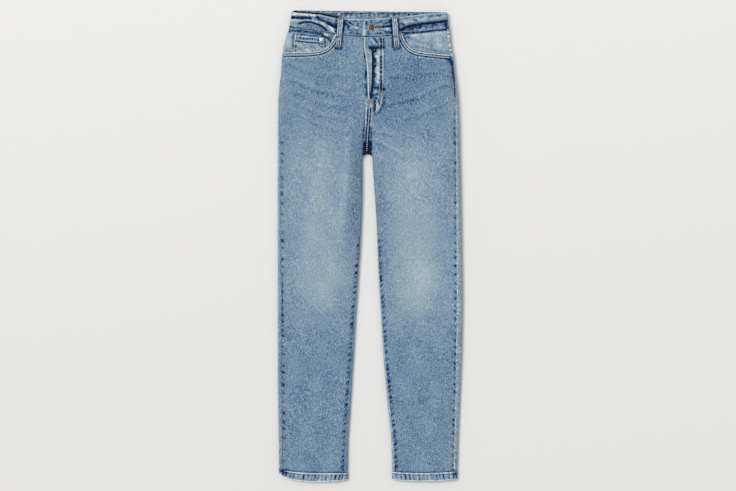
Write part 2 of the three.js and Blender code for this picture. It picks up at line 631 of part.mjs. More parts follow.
// The hem: a ring a little prouder than the leg
function hem(leg) {
  const fractions = [0, 0.03, 0.1, 0.24, 0.42, 0.6, 0.78, 0.91, 0.97, 1];
  const proud = ({ at, look }) => ({ at: at.addScaledVector(look, HEM_PROUD), look });
  const onTable = ({ at, look }) => {
    at.z = Math.max(at.z, 0);
    return { at, look };
  };
  const ringRow = (column) => {
    const front = fractions.map((fraction) => {
      const limits = frontLimits(leg, HEM[leg][0].seam);
      const y = hemY(leg, mix(limits.side, limits.inner, fraction), column);
      const { side, inner } = frontLimits(leg, y);
      return proud(onTop(leg, mix(side, inner, fraction), y));
    });
    const back = BACK_COLUMNS.map((_, index) => {
      const x = backPoint(leg, BACK_COLUMNS[index], HEM[leg][0].seam).x;
      return onTable(proud(backGridPoint(leg, index, () => hemY(leg, x, column))));
    });
    return [...front, ...back.toReversed().slice(1, -1)];
  };
  const grid = ["seam", "foot"].map(ringRow);
  const middle = grid[0].map(({ at, look }, i) => ({
    at: at.clone().lerp(grid[1][i].at, 0.5),
    look: look.clone().add(grid[1][i].look).normalize(),
  }));
  sew(`hem_${leg}`, clothWall([grid[0], middle, grid[1]], HEM_WALL, true), DENIM_BLUE);
}

// The waistband: one strip from the button end, round the right side, behind and back to the
// buttonhole end, which laps over the first
const BAND_ROWS = [0, 0.1, 0.22, 0.35, 0.48, 0.61, 0.74, 0.87, 1];
const ROLL_TURNS = [0.72, 0.45, 0.15, -0.15, -0.45, -0.72];

function bandEdge(leg, down) {
  const rows = SIDE_EDGE[leg];
  return mix(rows[0].x, rows[1].x, down);
}

function bandFront(x, down, lapped) {
  const y = mix(along(WAIST_TOP_FRONT, "y", x, "x"), waistSeamY(x), down);
  const drop = lapped ? UNDERLAP_DROP * ease(-33, OVERLAP_END_X - 4, x) : 0;
  const at = new THREE.Vector3(x, y, WAISTBAND_TOP - drop + creaseHeight(WAIST_FOLDS, x, y));
  return { at, look: new THREE.Vector3(0, 0, 1) };
}

function bandBack(x, down) {
  const y = mix(along(WAIST_TOP_BACK, "y", x, "x"), along(WAIST_BOTTOM_BACK, "y", x, "x"), down);
  return { at: new THREE.Vector3(x, y, BACK_LIFT), look: new THREE.Vector3(0, 0, -1) };
}

function bandRoll(leg, turn, down) {
  const { sign } = LEGS[leg];
  const angle = (turn * Math.PI) / 2;
  const x = bandEdge(leg, down) - sign * WAIST_ROLL * (1 - Math.cos(angle));
  const edge = section("edge", SIDE_EDGE[leg][1].y);
  const front = bandFront(x, down, false).at;
  const back = bandBack(x, down).at;
  const height = turn > 0 ? front.z - edge : edge - BACK_LIFT;
  const y = mix(back.y, front.y, (1 + Math.sin(angle)) / 2);
  const at = new THREE.Vector3(x, y, edge + height * Math.sin(angle));
  const look = new THREE.Vector3(sign * Math.cos(angle) * height, 0, Math.sin(angle) * WAIST_ROLL);
  return { at, look: look.normalize() };
}

function spread(from, to, pitch) {
  const count = Math.max(1, Math.round(Math.abs(to - from) / pitch));
  return Array.from({ length: count + 1 }, (_, i) => mix(from, to, i / count));
}

function bandGrid() {
  const bandColumns = [];
  const frontPitch = 9;
  const backPitch = 30;
  for (const x of [UNDERLAP_END_X, 4, -8, ...spread(-17, -165, frontPitch)]) {
    bandColumns.push((down) => bandFront(x, down, true));
  }
  for (const turn of ROLL_TURNS) bandColumns.push((down) => bandRoll("right", turn, down));
  for (const x of spread(-164, 163, backPitch)) bandColumns.push((down) => bandBack(x, down));
  for (const turn of ROLL_TURNS.toReversed()) {
    bandColumns.push((down) => bandRoll("left", turn, down));
  }
  for (const x of [...spread(164, -4, frontPitch), -11, OVERLAP_END_X]) {
    bandColumns.push((down) => bandFront(x, down, false));
  }
  return BAND_ROWS.map((down) => bandColumns.map((column) => column(down)));
}

function toSolid(geometry) {
  const bare = geometry.clone();
  bare.deleteAttribute("normal");
  bare.deleteAttribute("uv");
  const merged = mergeVertices(bare, 1e-4);
  return new wasm.Manifold(
    new wasm.Mesh({
      numProp: 3,
      vertProperties: merged.attributes.position.array,
      triVerts: new Uint32Array(merged.index.array),
    }),
  );
}

function toGeometry(solid) {
  const mesh = solid.getMesh();
  const geometry = new THREE.BufferGeometry();
  geometry.setAttribute("position", new THREE.BufferAttribute(mesh.vertProperties, 3));
  geometry.setIndex(new THREE.BufferAttribute(mesh.triVerts, 1));
  return geometry;
}

// Keyhole: a round eye for the button's shank and a slit that runs on from it
function keyhole(depth) {
  const { eye, length, width } = BUTTONHOLE;
  const slit = Math.asin(width / 2 / eye);
  const shape = new THREE.Shape();
  shape.absarc(0, 0, eye, slit, 2 * Math.PI - slit, false);
  shape.lineTo(length, -width / 2);
  shape.lineTo(length, width / 2);
  return new THREE.ExtrudeGeometry(shape, { depth, bevelEnabled: false, curveSegments: 6 });
}

function waistband() {
  const lapTop = WAISTBAND_TOP - UNDERLAP_DROP;
  const clearOfUnderlap = 0.35;
  const cutter = keyhole(2 * WAISTBAND_WALL);
  cutter.translate(BUTTON.x, BUTTON.y, lapTop + clearOfUnderlap);
  const band = toSolid(clothWall(bandGrid(), WAISTBAND_WALL));
  sew("waistband", toGeometry(band.subtract(toSolid(cutter))), BAND_BLUE);
}

// The strip behind the fly, sewn to the right front's edge, that carries the fly's fastening
function flyUnderlap() {
  const grid = spread(UNDERLAP.topY, UNDERLAP.bottomY, 24).map((y) =>
    [0, 0.25, 0.5, 0.75, 1].map((t) => {
      const x = mix(centreX(y) + SEAM_GAP, UNDERLAP.right, t);
      return onTop("left", x, y, -UNDERLAP.sink * ease(0, 0.25, t));
    }),
  );
  sew("fly_underlap", clothWall(grid, DENIM), BAND_BLUE);
}

// The mouth of the pocket, run on past its end so that the facing can reach under the panel
function mouthY(leg, x) {
  const mouth = POCKET_MOUTH[leg];
  const end = mouth[mouth.length - 1];
  const past = LEGS[leg].sign * (end.x - x);
  return past > 0 ? end.y + 2 * past : along(mouth, "y", x, "x");
}

// How far a point of the facing lies below the surface that the front panel continues
function facingDepth(leg, x, y) {
  const steepness = mouthY(leg, x + 0.5) - mouthY(leg, x - 0.5);
  const above = (y - mouthY(leg, x)) / Math.hypot(1, steepness);
  const fromSeam = Math.abs(frontLimits(leg, y).side - x);
  const risen = ease(FACING_RISE.from, FACING_RISE.to, above);
  return MOUTH_DEPTH[leg] * (1 - risen) * ease(0.5, 10, fromSeam);
}

function facingLowY(leg, x) {
  const { sign } = LEGS[leg];
  const mouth = POCKET_MOUTH[leg];
  const fromSeam = Math.abs(frontLimits(leg, mouth[0].y).side - x);
  const under = Math.min(mouthY(leg, x + sign * FACING_TUCK), mouthY(leg, x)) - FACING_TUCK / 2;
  return mix(mouthY(leg, x) + SEAM_GAP, under, ease(11, 20, fromSeam));
}

function facingGrid(leg) {
  const mouth = POCKET_MOUTH[leg];
  const places = [...mouth.slice(1, -1).map((p) => p.x), FACING_END_X[leg]];
  const least = 0.7;
  const column = (xAt) => {
    const top = waistSeamY(xAt(waistSeamY(mouth[1].x))) - WAIST_GAP;
    const low = facingLowY(leg, xAt(mouth[0].y));
    const line = mouthY(leg, xAt(mouth[0].y));
    const ys = [low];
    FACING_STEPS.forEach((step, k) => {
      const room = top - least * (FACING_STEPS.length + 1 - k);
      ys.push(Math.min(Math.max(line + step, ys[ys.length - 1] + least), room));
    });
    ys.push(mix(ys[ys.length - 1], top, 0.35), mix(ys[ys.length - 1], top, 0.7), top);
    return ys.map((y) => {
      const x = xAt(y);
      return onTop(leg, x, y, -facingDepth(leg, x, y));
    });
  };
  const nearSide = [0, 0.35, 0.7].map(
    (t) => (y) => mix(frontLimits(leg, y).side, places[0], t),
  );
  const columns = [...nearSide, ...places.map((x) => () => x)].map(column);
  return columns[0].map((_, row) => columns.map((points) => points[row]));
}

function pocketFacing(leg) {
  sew(`pocket_facing_${leg}`, clothWall(facingGrid(leg), DENIM), FACING_BLUE);
}

function coinTopY(x) {
  return mix(COIN.topLeftY, COIN.topRightY, (x - COIN.left) / (COIN.right - COIN.left));
}

function coinHeight(x, y) {
  const raise = LAYER_GAP + COIN.wall;
  return frontHeight("right", x, y) - facingDepth("right", x, y) + raise;
}

// The coin pocket lies on the facing and follows its rows
function coinPocket() {
  const rows = [...FACING_STEPS.map((step) => ({ step })), { up: 0.5 }, { up: 1 }];
  const columns = [COIN.left, -161.5, -153, -142.5, -132, -124.5, -117, -111.5, -106, COIN.right];
  const grid = rows.map(({ step, up }) =>
    columns.map((x) => {
      const highest = FACING_STEPS[FACING_STEPS.length - 1];
      const line = mouthY("right", x);
      const y = up ? mix(line + highest, coinTopY(x), up) : line + step;
      return { at: new THREE.Vector3(x, y, coinHeight(x, y)), look: new THREE.Vector3(0, 0, 1) };
    }),
  );
  sew("coin_pocket", clothWall(grid, COIN.wall), FACING_BLUE);
}

// A turned fitting whose axis is vertical
function turned(profile, segments) {
  const geometry = new THREE.LatheGeometry(
    profile.map(([radius, height]) => new THREE.Vector2(radius, height)),
    segments,
  );
  return geometry.rotateX(Math.PI / 2);
}

function rivet() {
  const { radius, height } = RIVET;
  const geometry = turned(
    [[0, 0], [radius, 0], [radius, 0.4 * height], [0.8 * radius, 0.75 * height],
      [0.42 * radius, height], [0, height]],
    16,
  );
  const y = coinTopY(RIVET.x) - RIVET.inset;
  geometry.translate(RIVET.x, y, coinHeight(RIVET.x, y) + SEAM_GAP);
  sew("coin_pocket_rivet", geometry, NICKEL);
}

function button() {
  const { radius, rim, dome, shank } = BUTTON;
  const foot = WAISTBAND_TOP - UNDERLAP_DROP + SEAM_GAP;
  const head = WAISTBAND_TOP + SEAM_GAP;
  const profile = [
    [0, foot], [shank, foot], [shank, head], [radius - 0.6, head], [radius, head + 0.5],
    [radius, head + rim], [radius - 0.8, head + rim + 0.7], [radius - 2.2, head + rim + 0.6],
    [radius - 3, head + rim + 0.1], [0.45 * radius, head + rim + 0.2],
    [0.25 * radius, head + dome - 0.5], [0, head + dome],
  ];
  const geometry = turned(profile, 20);
  geometry.translate(BUTTON.x, BUTTON.y, 0);
  sew("button", geometry, BRASS);
}

// A loop on the front: lies on the waistband's top edge, bows out over it and is sewn down on
// the front panel below the seam
function frontLoop({ name, top, foot, leg }) {
  const profile = [
    { t: 0, rise: 0 }, { t: 0.08, rise: 0.3 }, { t: 0.25, rise: 1.3 }, { t: 0.45, rise: 1.7 },
    { t: 0.6, rise: 1.2 }, { t: 0.72, rise: 0 }, { t: 0.86, rise: 0 }, { t: 1, rise: 0 },
  ];
  const raise = LAYER_GAP + LOOP.wall;
  const panelTop = (x, y) => frontHeight(leg, x, y) + frontRelief(leg, x, y);
  const grid = profile.map(({ t, rise }) => {
    const x = mix(top[0], foot[0], t);
    const y = mix(top[1], foot[1], t);
    const onPanel = ease(0.58, 0.76, t);
    const z = mix(WAISTBAND_TOP, panelTop(x, y), onPanel) + raise + rise;
    return [-0.5, 0, 0.5].map((side) => ({
      at: new THREE.Vector3(x + side * LOOP.width, y, z),
      look: new THREE.Vector3(0, 0, 1),
    }));
  });
  sew(name, clothWall(grid, LOOP.wall), LOOP_BLUE);
}

function backLoop({ name, x, topY, footY }) {
  const length = topY - footY;
  const shape = new THREE.Shape();
  const half = LOOP.width / 2;
  shape.moveTo(x - half, footY);
  shape.lineTo(x + half, footY);
  shape.lineTo(x + half, footY + length);
  shape.lineTo(x - half, footY + length);
  const geometry = new THREE.ExtrudeGeometry(shape, { depth: LOOP.wall, bevelEnabled: false });
  sew(name, geometry, LOOP_BLUE);
}

// A back pocket, flat on the table: straight top, sides that draw in and a blunt point
function backPocket(leg) {
  const { sign } = LEGS[leg];
  const { width, foot, height, point, corner, x, topY, tilt } = BACK_POCKET;
  const shape = new THREE.Shape();
  shape.moveTo(-width / 2, 0);
  shape.lineTo(-foot / 2, point - height + corner);
  shape.quadraticCurveTo(-foot / 2, point - height, -foot / 2 + corner, point - height - 2);
  shape.lineTo(-corner, -height + 1);
  shape.quadraticCurveTo(0, -height, corner, -height + 1);
  shape.lineTo(foot / 2 - corner, point - height - 2);
  shape.quadraticCurveTo(foot / 2, point - height, foot / 2, point - height + corner);
  shape.lineTo(width / 2, 0);
  const geometry = new THREE.ExtrudeGeometry(shape, {
    depth: POCKET_WALL, bevelEnabled: false, curveSegments: 3,
  });
  geometry.rotateZ(sign * tilt);
  geometry.translate(sign * x + centreX(topY), topY, 0);
  sew(`back_pocket_${leg}`, geometry, DENIM_BLUE);
}

for (const leg of Object.keys(LEGS)) {
  frontPanel(leg);
  backPanel(leg);
  yoke(leg);
  hem(leg);
  pocketFacing(leg);
  backPocket(leg);
}
waistband();
flyUnderlap();
coinPocket();
rivet();
button();
for (const loop of FRONT_LOOPS) frontLoop(loop);
for (const loop of BACK_LOOPS) backLoop(loop);

export default garment;
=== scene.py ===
"""Straight jeans laid flat: the cloth with its folds and wash, the sewing, the fittings and a plain
studio floor. Lengths in the tables and in the functions are millimetres, as in the part's source.
"""

import math
from functools import partial

import bpy
import numpy as np
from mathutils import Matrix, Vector


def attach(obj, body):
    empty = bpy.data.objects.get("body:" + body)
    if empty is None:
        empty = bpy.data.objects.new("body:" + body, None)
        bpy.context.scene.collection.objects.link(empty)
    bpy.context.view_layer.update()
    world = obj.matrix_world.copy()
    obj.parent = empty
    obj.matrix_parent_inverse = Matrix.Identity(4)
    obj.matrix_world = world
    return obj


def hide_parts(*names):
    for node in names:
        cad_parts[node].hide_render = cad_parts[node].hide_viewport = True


bl_info = {
    "name": "Straight Jeans Laid Flat",
    "version": (1, 0, 0),
    "blender": (4, 5, 0),
    "location": "View3D > Sidebar > Jeans",
    "description": "Builds faded denim jeans, laid flat, around their solid pieces",
    "category": "Add Mesh",
}

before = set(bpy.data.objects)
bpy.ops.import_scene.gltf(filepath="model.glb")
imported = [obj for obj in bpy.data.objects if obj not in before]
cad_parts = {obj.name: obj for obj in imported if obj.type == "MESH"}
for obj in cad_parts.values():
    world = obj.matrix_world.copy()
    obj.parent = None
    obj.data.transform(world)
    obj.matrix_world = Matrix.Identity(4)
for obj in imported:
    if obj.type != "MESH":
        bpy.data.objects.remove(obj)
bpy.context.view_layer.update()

# Thickness of the cloth, and gaps between pieces
DENIM = 1.5
WAISTBAND_WALL = 2.5
HEM_WALL = 2.4
SEAM_GAP = 0.3
WAIST_GAP = 0.4
HEM_GAP = 0.55
LAYER_GAP = 0.45

# Lengths along the garment
FLY_END_Y = 326
CROTCH_Y = 207
CROTCH_ARCH = 12
CROTCH_X = -6
ARCH_SPRING_Y = CROTCH_Y - CROTCH_ARCH
BACK_LIFT = 1.8
UNDER_ROLL = 8
ARCH_ROLL = 9
WAIST_ROLL = 9
BAND_DEPTH = 40

# Where a panel's rows turn towards its waist edge and its hem, and the row that sets the hem's columns
UPPER_ROWS_Y = 392.0
HEM_ROWS_Y = -497.0
HEM_PLAN_Y = -505.0

SIGN = {"right": -1, "left": 1}


def ease(start, end, at):
    """Smooth step from 0 at start to 1 at end."""
    t = np.clip((at - start) / (end - start), 0, 1)
    return t * t * (3 - 2 * t)


def mix(a, b, t):
    return a + (b - a) * t


def hill(distance, width):
    """1 at distance 0, falling off smoothly to both sides."""
    return np.exp(-((distance / width) ** 2))


def xyz(x, y, z):
    """Points from their three columns, each an array or one number for all."""
    return np.stack(np.broadcast_arrays(x, y, z), -1)


def quarter(distance, reach):
    """Quarter ellipse: 0 at distance 0 and 1 from reach on."""
    t = 1 - np.clip(distance / reach, 0, 1)
    return np.sqrt(1 - t * t)


class Curve:
    """A monotone cubic through (place, value) rows."""

    def __init__(self, rows):
        place, value = np.array(sorted(rows), float).T
        slope = np.diff(value) / np.diff(place)
        before, after = slope[:-1], slope[1:]
        same_way = before * after > 0
        total = np.where(same_way, before + after, 1)
        inner = np.where(same_way, 2 * before * after / total, 0)
        self.place = place
        self.value = value
        self.tangent = np.concatenate([slope[:1], inner, slope[-1:]])

    def __call__(self, at):
        at = np.clip(at, self.place[0], self.place[-1])
        last = len(self.place) - 2
        i = np.clip(np.searchsorted(self.place, at, side="right") - 1, 0, last)
        span = self.place[i + 1] - self.place[i]
        t = (at - self.place[i]) / span
        t2, t3 = t * t, t * t * t
        return (
            (2 * t3 - 3 * t2 + 1) * self.value[i]
            + (t3 - 2 * t2 + t) * span * self.tangent[i]
            + (3 * t2 - 2 * t3) * self.value[i + 1]
            + (t3 - t2) * span * self.tangent[i + 1]
        )


# Silhouette of each leg at its side and at its inner edge: y, x
SIDE_EDGE = {
    "right": Curve([
        (531, -175.5), (492, -182), (470, -189), (447, -194.5), (425, -198), (387, -201),
        (355, -204.7), (320, -207), (200, -207.6), (60, -208), (-100, -208), (-300, -207.6),
        (-400, -206.5), (-490, -205), (-531, -203),
    ]),
    "left": Curve([
        (531, 173.5), (492, 178), (470, 180.5), (447, 183), (425, 187.5), (387, 191.5),
        (355, 195.5), (320, 198.5), (200, 202.5), (70, 205), (-22, 206.5), (-120, 208),
        (-240, 206), (-370, 201), (-430, 198.5), (-500, 196.5), (-531, 195.5),
    ]),
}
INNER_EDGE = {
    "right": Curve([
        (195, -17.4), (103, -18), (40, -20.3), (0, -22.2), (-72, -27), (-158, -32.6),
        (-245, -37.6), (-365, -45), (-450, -50), (-531, -51),
    ]),
    "left": Curve([
        (195, 5.4), (160, 7.4), (103, 11.7), (40, 15.2), (-72, 19.5), (-158, 24.8),
        (-245, 30), (-365, 40.5), (-450, 48.5), (-531, 50.6),
    ]),
}
CENTRE = Curve([(531, 1.5), (472, -1), (315, -2.8), (CROTCH_Y, CROTCH_X)])

# Cross sections down the garment
SECTION_COLUMNS = (
    "y", "crown", "edge", "seam", "side_roll", "inner_roll_right", "inner_roll_left",
    "outseam_right", "outseam_left", "inseam_right", "inseam_left",
)
SECTION_ROWS = [
    (531, 16.0, 8.0, 16.0, 9, 26, 16, 1.2, 5, 0, 0),
    (472, 16.2, 8.0, 16.2, 11, 26, 16, 1.2, 6, 0, 0),
    (400, 17.4, 8.2, 17.0, 13, 26, 16, 1.5, 5, 0, 0),
    (300, 17.6, 8.0, 16.2, 14, 26, 16, 3, 6, 0, 0),
    (250, 17.4, 7.8, 13.0, 14, 26, 17, 5, 7.5, 0, 0),
    (CROTCH_Y, 17.2, 5.8, 9.0, 14, 28, 18, 6, 8.5, 0, 0),
    (100, 16.8, 6.2, 9.0, 14, 36, 20, 6.5, 10, 0, 0),
    (0, 15.8, 6.4, 9.0, 14, 40, 20, 7, 11.5, 1.0, 1.5),
    (-160, 13.8, 6.0, 9.0, 13, 34, 18, 8, 13, 3.5, 3),
    (-350, 12.0, 5.4, 8.0, 12, 22, 15, 9, 9.5, 6, 5),
    (-531, 10.6, 5.0, 7.0, 11, 13, 12, 9, 7, 8, 6),
]
SECTION = {
    column: Curve([(row[0], row[k]) for row in SECTION_ROWS])
    for k, column in enumerate(SECTION_COLUMNS)
    if k
}

# Waistband: the seam and the top edge in front, both edges behind: x, y
WAIST_SEAM = Curve([
    (-190, 492.3), (-170, 490.7), (-133, 486), (-94, 479.3), (-74, 476), (-45, 473), (-14, 470),
    (22, 471.4), (47, 473.6), (70, 479), (112, 481.5), (171, 487.8), (190, 489),
])
WAIST_TOP_FRONT = Curve([
    (-176, 525.4), (-130, 521.5), (-108, 518.6), (-74, 512), (-45, 510.7), (-14, 509.8),
    (22, 511.2), (47, 513), (63, 514.2), (90, 517.7), (135, 522.5), (174, 525),
])
WAIST_TOP_BACK = Curve([(-176, 531), (-150, 530.4), (0, 528.6), (100, 527.4), (174, 526.8)])
WAIST_BOTTOM_BACK = Curve([(-190, 492.3), (-170, 490.7), (0, 488.2), (171, 487.8), (190, 489)])
WAISTBAND_TOP = 17.2
OVERLAP_END_X = -14.6
UNDERLAP_END_X = 15
UNDERLAP_DROP = 3.3

# Front pockets
MOUTH_POINTS = {
    "right": [
        (-196, 435.6), (-176, 435.6), (-153, 436), (-132, 437), (-117, 438.8), (-106, 442),
        (-97, 447), (-91, 453), (-86, 460.5), (-80, 472), (-77, 477),
    ],
    "left": [
        (188, 429.2), (167, 430.8), (150, 432.6), (131, 434.6), (113, 436.8), (101, 439.6),
        (92, 444.5), (86, 450.5), (81, 457.5), (76, 467), (72, 479),
    ],
}
MOUTH = {leg: Curve(rows) for leg, rows in MOUTH_POINTS.items()}
MOUTH_DEPTH = {"right": 3.8, "left": 2.7}
FACING_RISE = (2, 16)
FACING_TUCK = 11
FACING_END_X = {"right": -64, "left": 60}
COIN = {"left": -170.5, "right": -104, "top_left": 473.6, "top_right": 467.6, "wall": 1.2}
RIVET_PLACE = (-110.2, 5.2)

# Fly
FLY_EDGE = Curve([
    (476, -14.3), (462, -13), (441, -9.6), (396, -6.2), (351, -4.6), (300, -3.4),
])
FLY_RAISE = 2.2
FLY_FLAT_X = 24
FLY_FOOT_X = 35
FLY_FOOT_Y = 302

# Hem line and foot of each leg: x, y
HEM_LINE = {
    "right": Curve([
        (-208, -500), (-201, -502), (-184, -505.8), (-160, -508.4), (-125, -510.2),
        (-82, -510.4), (-48, -511),
    ]),
    "left": Curve([(48, -507.4), (80, -509.4), (119, -510.4), (160, -509), (198, -506)]),
}
HEM_FOOT = {
    "right": Curve([
        (-208, -512), (-201, -515.5), (-184, -523.5), (-160, -528.6), (-125, -531), (-82, -530),
        (-48, -526),
    ]),
    "left": Curve([(48, -526), (80, -528.4), (119, -529.6), (160, -528.4), (198, -525.4)]),
}
HEM_PROUD = 0.6

# Belt loops, yokes, back pockets, button
LOOP_WIDTH = 13
LOOP_WALL = 1.5
FRONT_LOOPS = {
    "right": ("belt_loop_front_right", (-65.5, 513), (-71.5, 447)),
    "left": ("belt_loop_front_left", (54.8, 515.5), (60.4, 447)),
}
LOOP_PROFILE = Curve([
    (0, 0), (0.08, 0.3), (0.25, 1.3), (0.45, 1.7), (0.6, 1.2), (0.72, 0), (0.86, 0), (1, 0),
])
BACK_LOOPS = [
    ("belt_loop_back_right", -112, 529.5, 470),
    ("belt_loop_back_centre", 1, 528.2, 468),
    ("belt_loop_back_left", 112, 527, 470),
]
YOKE_SIDE_Y, YOKE_CENTRE_Y = 449, 416
BUTTON = {"x": 4, "y": 491.6, "radius": 8.5}
BUTTONHOLE = {"eye": 2.9, "length": 21, "width": 1.5}

# Folds: a line in plan, how far it stands up or sinks, and how far it reaches to each side
CREASES = [
    ([(-38, 300), (-52, 170), (-66, -20)], 1.5, 10),
    ([(183, 412), (189, 352)], -2.6, 6),
    ([(128, 424), (172, 419)], -1.6, 7),
    ([(-26, 250), (-88, 292)], -1.0, 10),
    ([(14, 250), (74, 286)], -1.0, 10),
    ([(-176, -120), (-90, -150)], 0.9, 26),
    ([(70, -140), (160, -118)], 0.9, 26),
]

# Whiskers of the hips and thighs: each is a pale ridge with a darker fold below it. The columns
# are the ridge's line, its height, its reach and how strongly the wash marks it.
WHISKERS = {
    "right": [
        ([(-190, 418), (-124, 391), (-30, 386)], 0.5, 4.5, 0.06),
        ([(-174, 379), (-129, 357), (-62, 343)], 0.6, 4, 0.09),
        ([(-170, 352), (-120, 328), (-60, 316)], 0.5, 4, 0.08),
        ([(-166, 325), (-112, 300), (-58, 290)], 0.5, 4, 0.07),
        ([(-152, 296), (-112, 275), (-62, 260)], 0.5, 3.5, 0.06),
    ],
    "left": [
        ([(42, 386), (110, 390), (172, 402)], 0.5, 4.5, 0.05),
        ([(40, 322), (112, 340), (176, 371)], 0.7, 4, 0.09),
        ([(84, 292), (130, 307), (176, 330)], 0.6, 4, 0.07),
        ([(8, 263), (30, 257), (58, 249)], 0.6, 3, 0.08),
        ([(10, 240), (40, 226), (74, 205)], 0.6, 3.5, 0.07),
    ],
}

# Small folds in the columns of CREASES: hip, pocket, crotch, centre seam and shins
FINE_CREASES = [
    ([(178, 424), (184, 404), (188, 372)], -0.8, 4),
    ([(188, 364), (190, 340)], -0.6, 3),
    ([(104, 437), (140, 426), (182, 420)], -0.5, 2.6),
    ([(-13, 262), (-13.5, 240), (-15, 210)], -2.6, 5),
    ([(4, 258), (2, 212)], -1.5, 3.6),
    ([(-5.2, 318), (-6.4, 262), (-8.6, 210)], 0.5, 2.4),
    ([(0.5, 318), (-0.8, 262), (-3.4, 210)], 0.5, 2.4),
    ([(-178, -232), (-130, -244), (-96, -238)], 0.5, 9),
    ([(-168, -330), (-120, -352), (-80, -350)], -0.5, 12),
    ([(84, -250), (130, -262), (176, -252)], 0.5, 10),
    ([(78, -360), (120, -376), (168, -366)], -0.5, 12),
]

# Trough along the fly, dents over its hidden buttons and puckers of its stitching
FLY_CREASES = [
    ([(9, 452), (6, 360)], -1.2, 5),
    ([(8, 438), (7, 400), (5.5, 366), (2, 338)], -1.8, 2.6),
    ([(8, 418), (13, 411), (12.5, 402), (8, 396)], -0.8, 1.9),
    ([(-4, 446), (12, 444), (31, 446)], -1.9, 3.2),
    ([(3, 354), (18, 355), (32, 352)], -1.8, 3),
    ([(4, 339), (22, 342)], -1.0, 2),
    ([(10, 328), (9.5, 306)], -1.1, 2.6),
    ([(21, 416), (31, 413)], -0.7, 2.4),
    ([(21, 402), (31, 399)], -0.7, 2.4),
    ([(21, 389), (31, 386)], -0.7, 2.4),
    ([(21, 374), (31, 372)], -0.7, 2.4),
    ([(24, 464), (26, 452)], -1.0, 3),
    ([(3.4, 438), (2.6, 356)], 0.7, 1.8),
]

# Deep folds of the waistband, then its rolls and ripples
WAIST_FOLDS = [
    ([(-182, 513), (-133, 512.5)], -4.0, 4.5),
    ([(-114, 513), (-72, 488)], -3.8, 4.5),
    ([(-160, 499), (-140, 504), (-98, 489)], -3.2, 4),
    ([(72, 487), (100, 497), (184, 507)], -4.8, 5),
]
FINE_WAIST_FOLDS = [
    ([(70, 499), (104, 506), (178, 514)], 1.0, 3.5),
    ([(-142, 508), (-118, 503), (-104, 497), (-92, 485)], 1.2, 2.4),
    ([(-176, 519), (-124, 518)], 0.7, 2.2),
    ([(-92, 496), (-78, 479)], 0.9, 2.2),
    ([(-58, 500), (-46, 493)], -1.1, 2.2),
    ([(-47, 503), (-30, 491)], -1.0, 2.2),
    ([(14, 494), (48, 494.5)], -1.2, 2.2),
    ([(34, 482), (50, 479)], -1.4, 3),
    ([(-4, 482), (-3, 471)], -0.9, 2.4),
    ([(98, 509), (107, 507)], -0.8, 2),
]

# Marks of wash and wear, and painted shade in folds and gaps with painted highlights beside it: a
# line in plan, its reach, and how much darker it is (or, below 0, paler)
RIGHT_FRONT_SHADE_AND_HIGHLIGHTS = [
    # painted shade in the crotch valley beside the centre seam, and a painted highlight on the seam's
    # ridge
    ([(-14, 264), (-15, 240)], 2.4, 0.35),
    ([(-11.5, 231), (-12.5, 208)], 3.4, 1.3),
    ([(-9, 226), (-8, 208)], 3.6, 1.1),
    ([(-8.6, 318), (-9.6, 262)], 1.4, -0.26),
    ([(-4.4, 306), (-7.8, 262), (-9.6, 214)], 1.6, 0.8),
    ([(-12, 316), (-13.5, 262)], 1.2, 0.24),
    # painted shadow beside the edge of the fly's lap
    ([(-15.5, 466), (-12, 441), (-8.5, 396), (-7, 335)], 1.8, 0.2),
    ([(-12, 434), (-11.5, 422)], 1.9, 0.5),
    ([(-9.8, 390), (-9.2, 379)], 2.1, 0.55),
    ([(-9.4, 364), (-9, 355)], 2.1, 0.5),
    ([(-8.5, 348), (-8, 338)], 1.9, 0.4),
    # painted shadow of the belt loop on the panel
    ([(-62, 470), (-64, 446)], 1.9, 0.5),
    ([(-78, 443.5), (-65, 443)], 1.9, 0.55),
    ([(-84, 452), (-79, 446)], 1.6, 0.25),
    ([(-197, -70), (-197, -180)], 1.1, 0.3),
]
LEFT_FRONT_SHADE_AND_HIGHLIGHTS = [
    # painted shade in the crotch valley beside the centre seam, and a painted highlight on the seam's
    # ridge
    ([(3, 264), (2.6, 240)], 1.9, 0.35),
    ([(1.2, 234), (0, 208)], 3.0, 1.2),
    ([(3.6, 318), (1.6, 270)], 1.5, -0.26),
    ([(1.4, 310), (-1.6, 262), (-3.6, 225)], 1.5, 0.8),
    ([(-2.5, 232), (-3.5, 208)], 3.0, 1.0),
    # painted shade in the fold at the hip's side seam
    ([(181, 424), (185.5, 404), (189, 372)], 2.2, 0.55),
    ([(172, 421), (184, 413)], 3.6, 0.42),
    ([(189.5, 372), (191.5, 336)], 1.7, 0.5),
    # painted shadow of the belt loop on the panel
    ([(52, 472), (51.5, 446)], 2.2, 0.6),
    ([(54, 443.5), (67, 443)], 1.9, 0.55),
    ([(69, 468), (69, 447)], 1.7, 0.35),
]
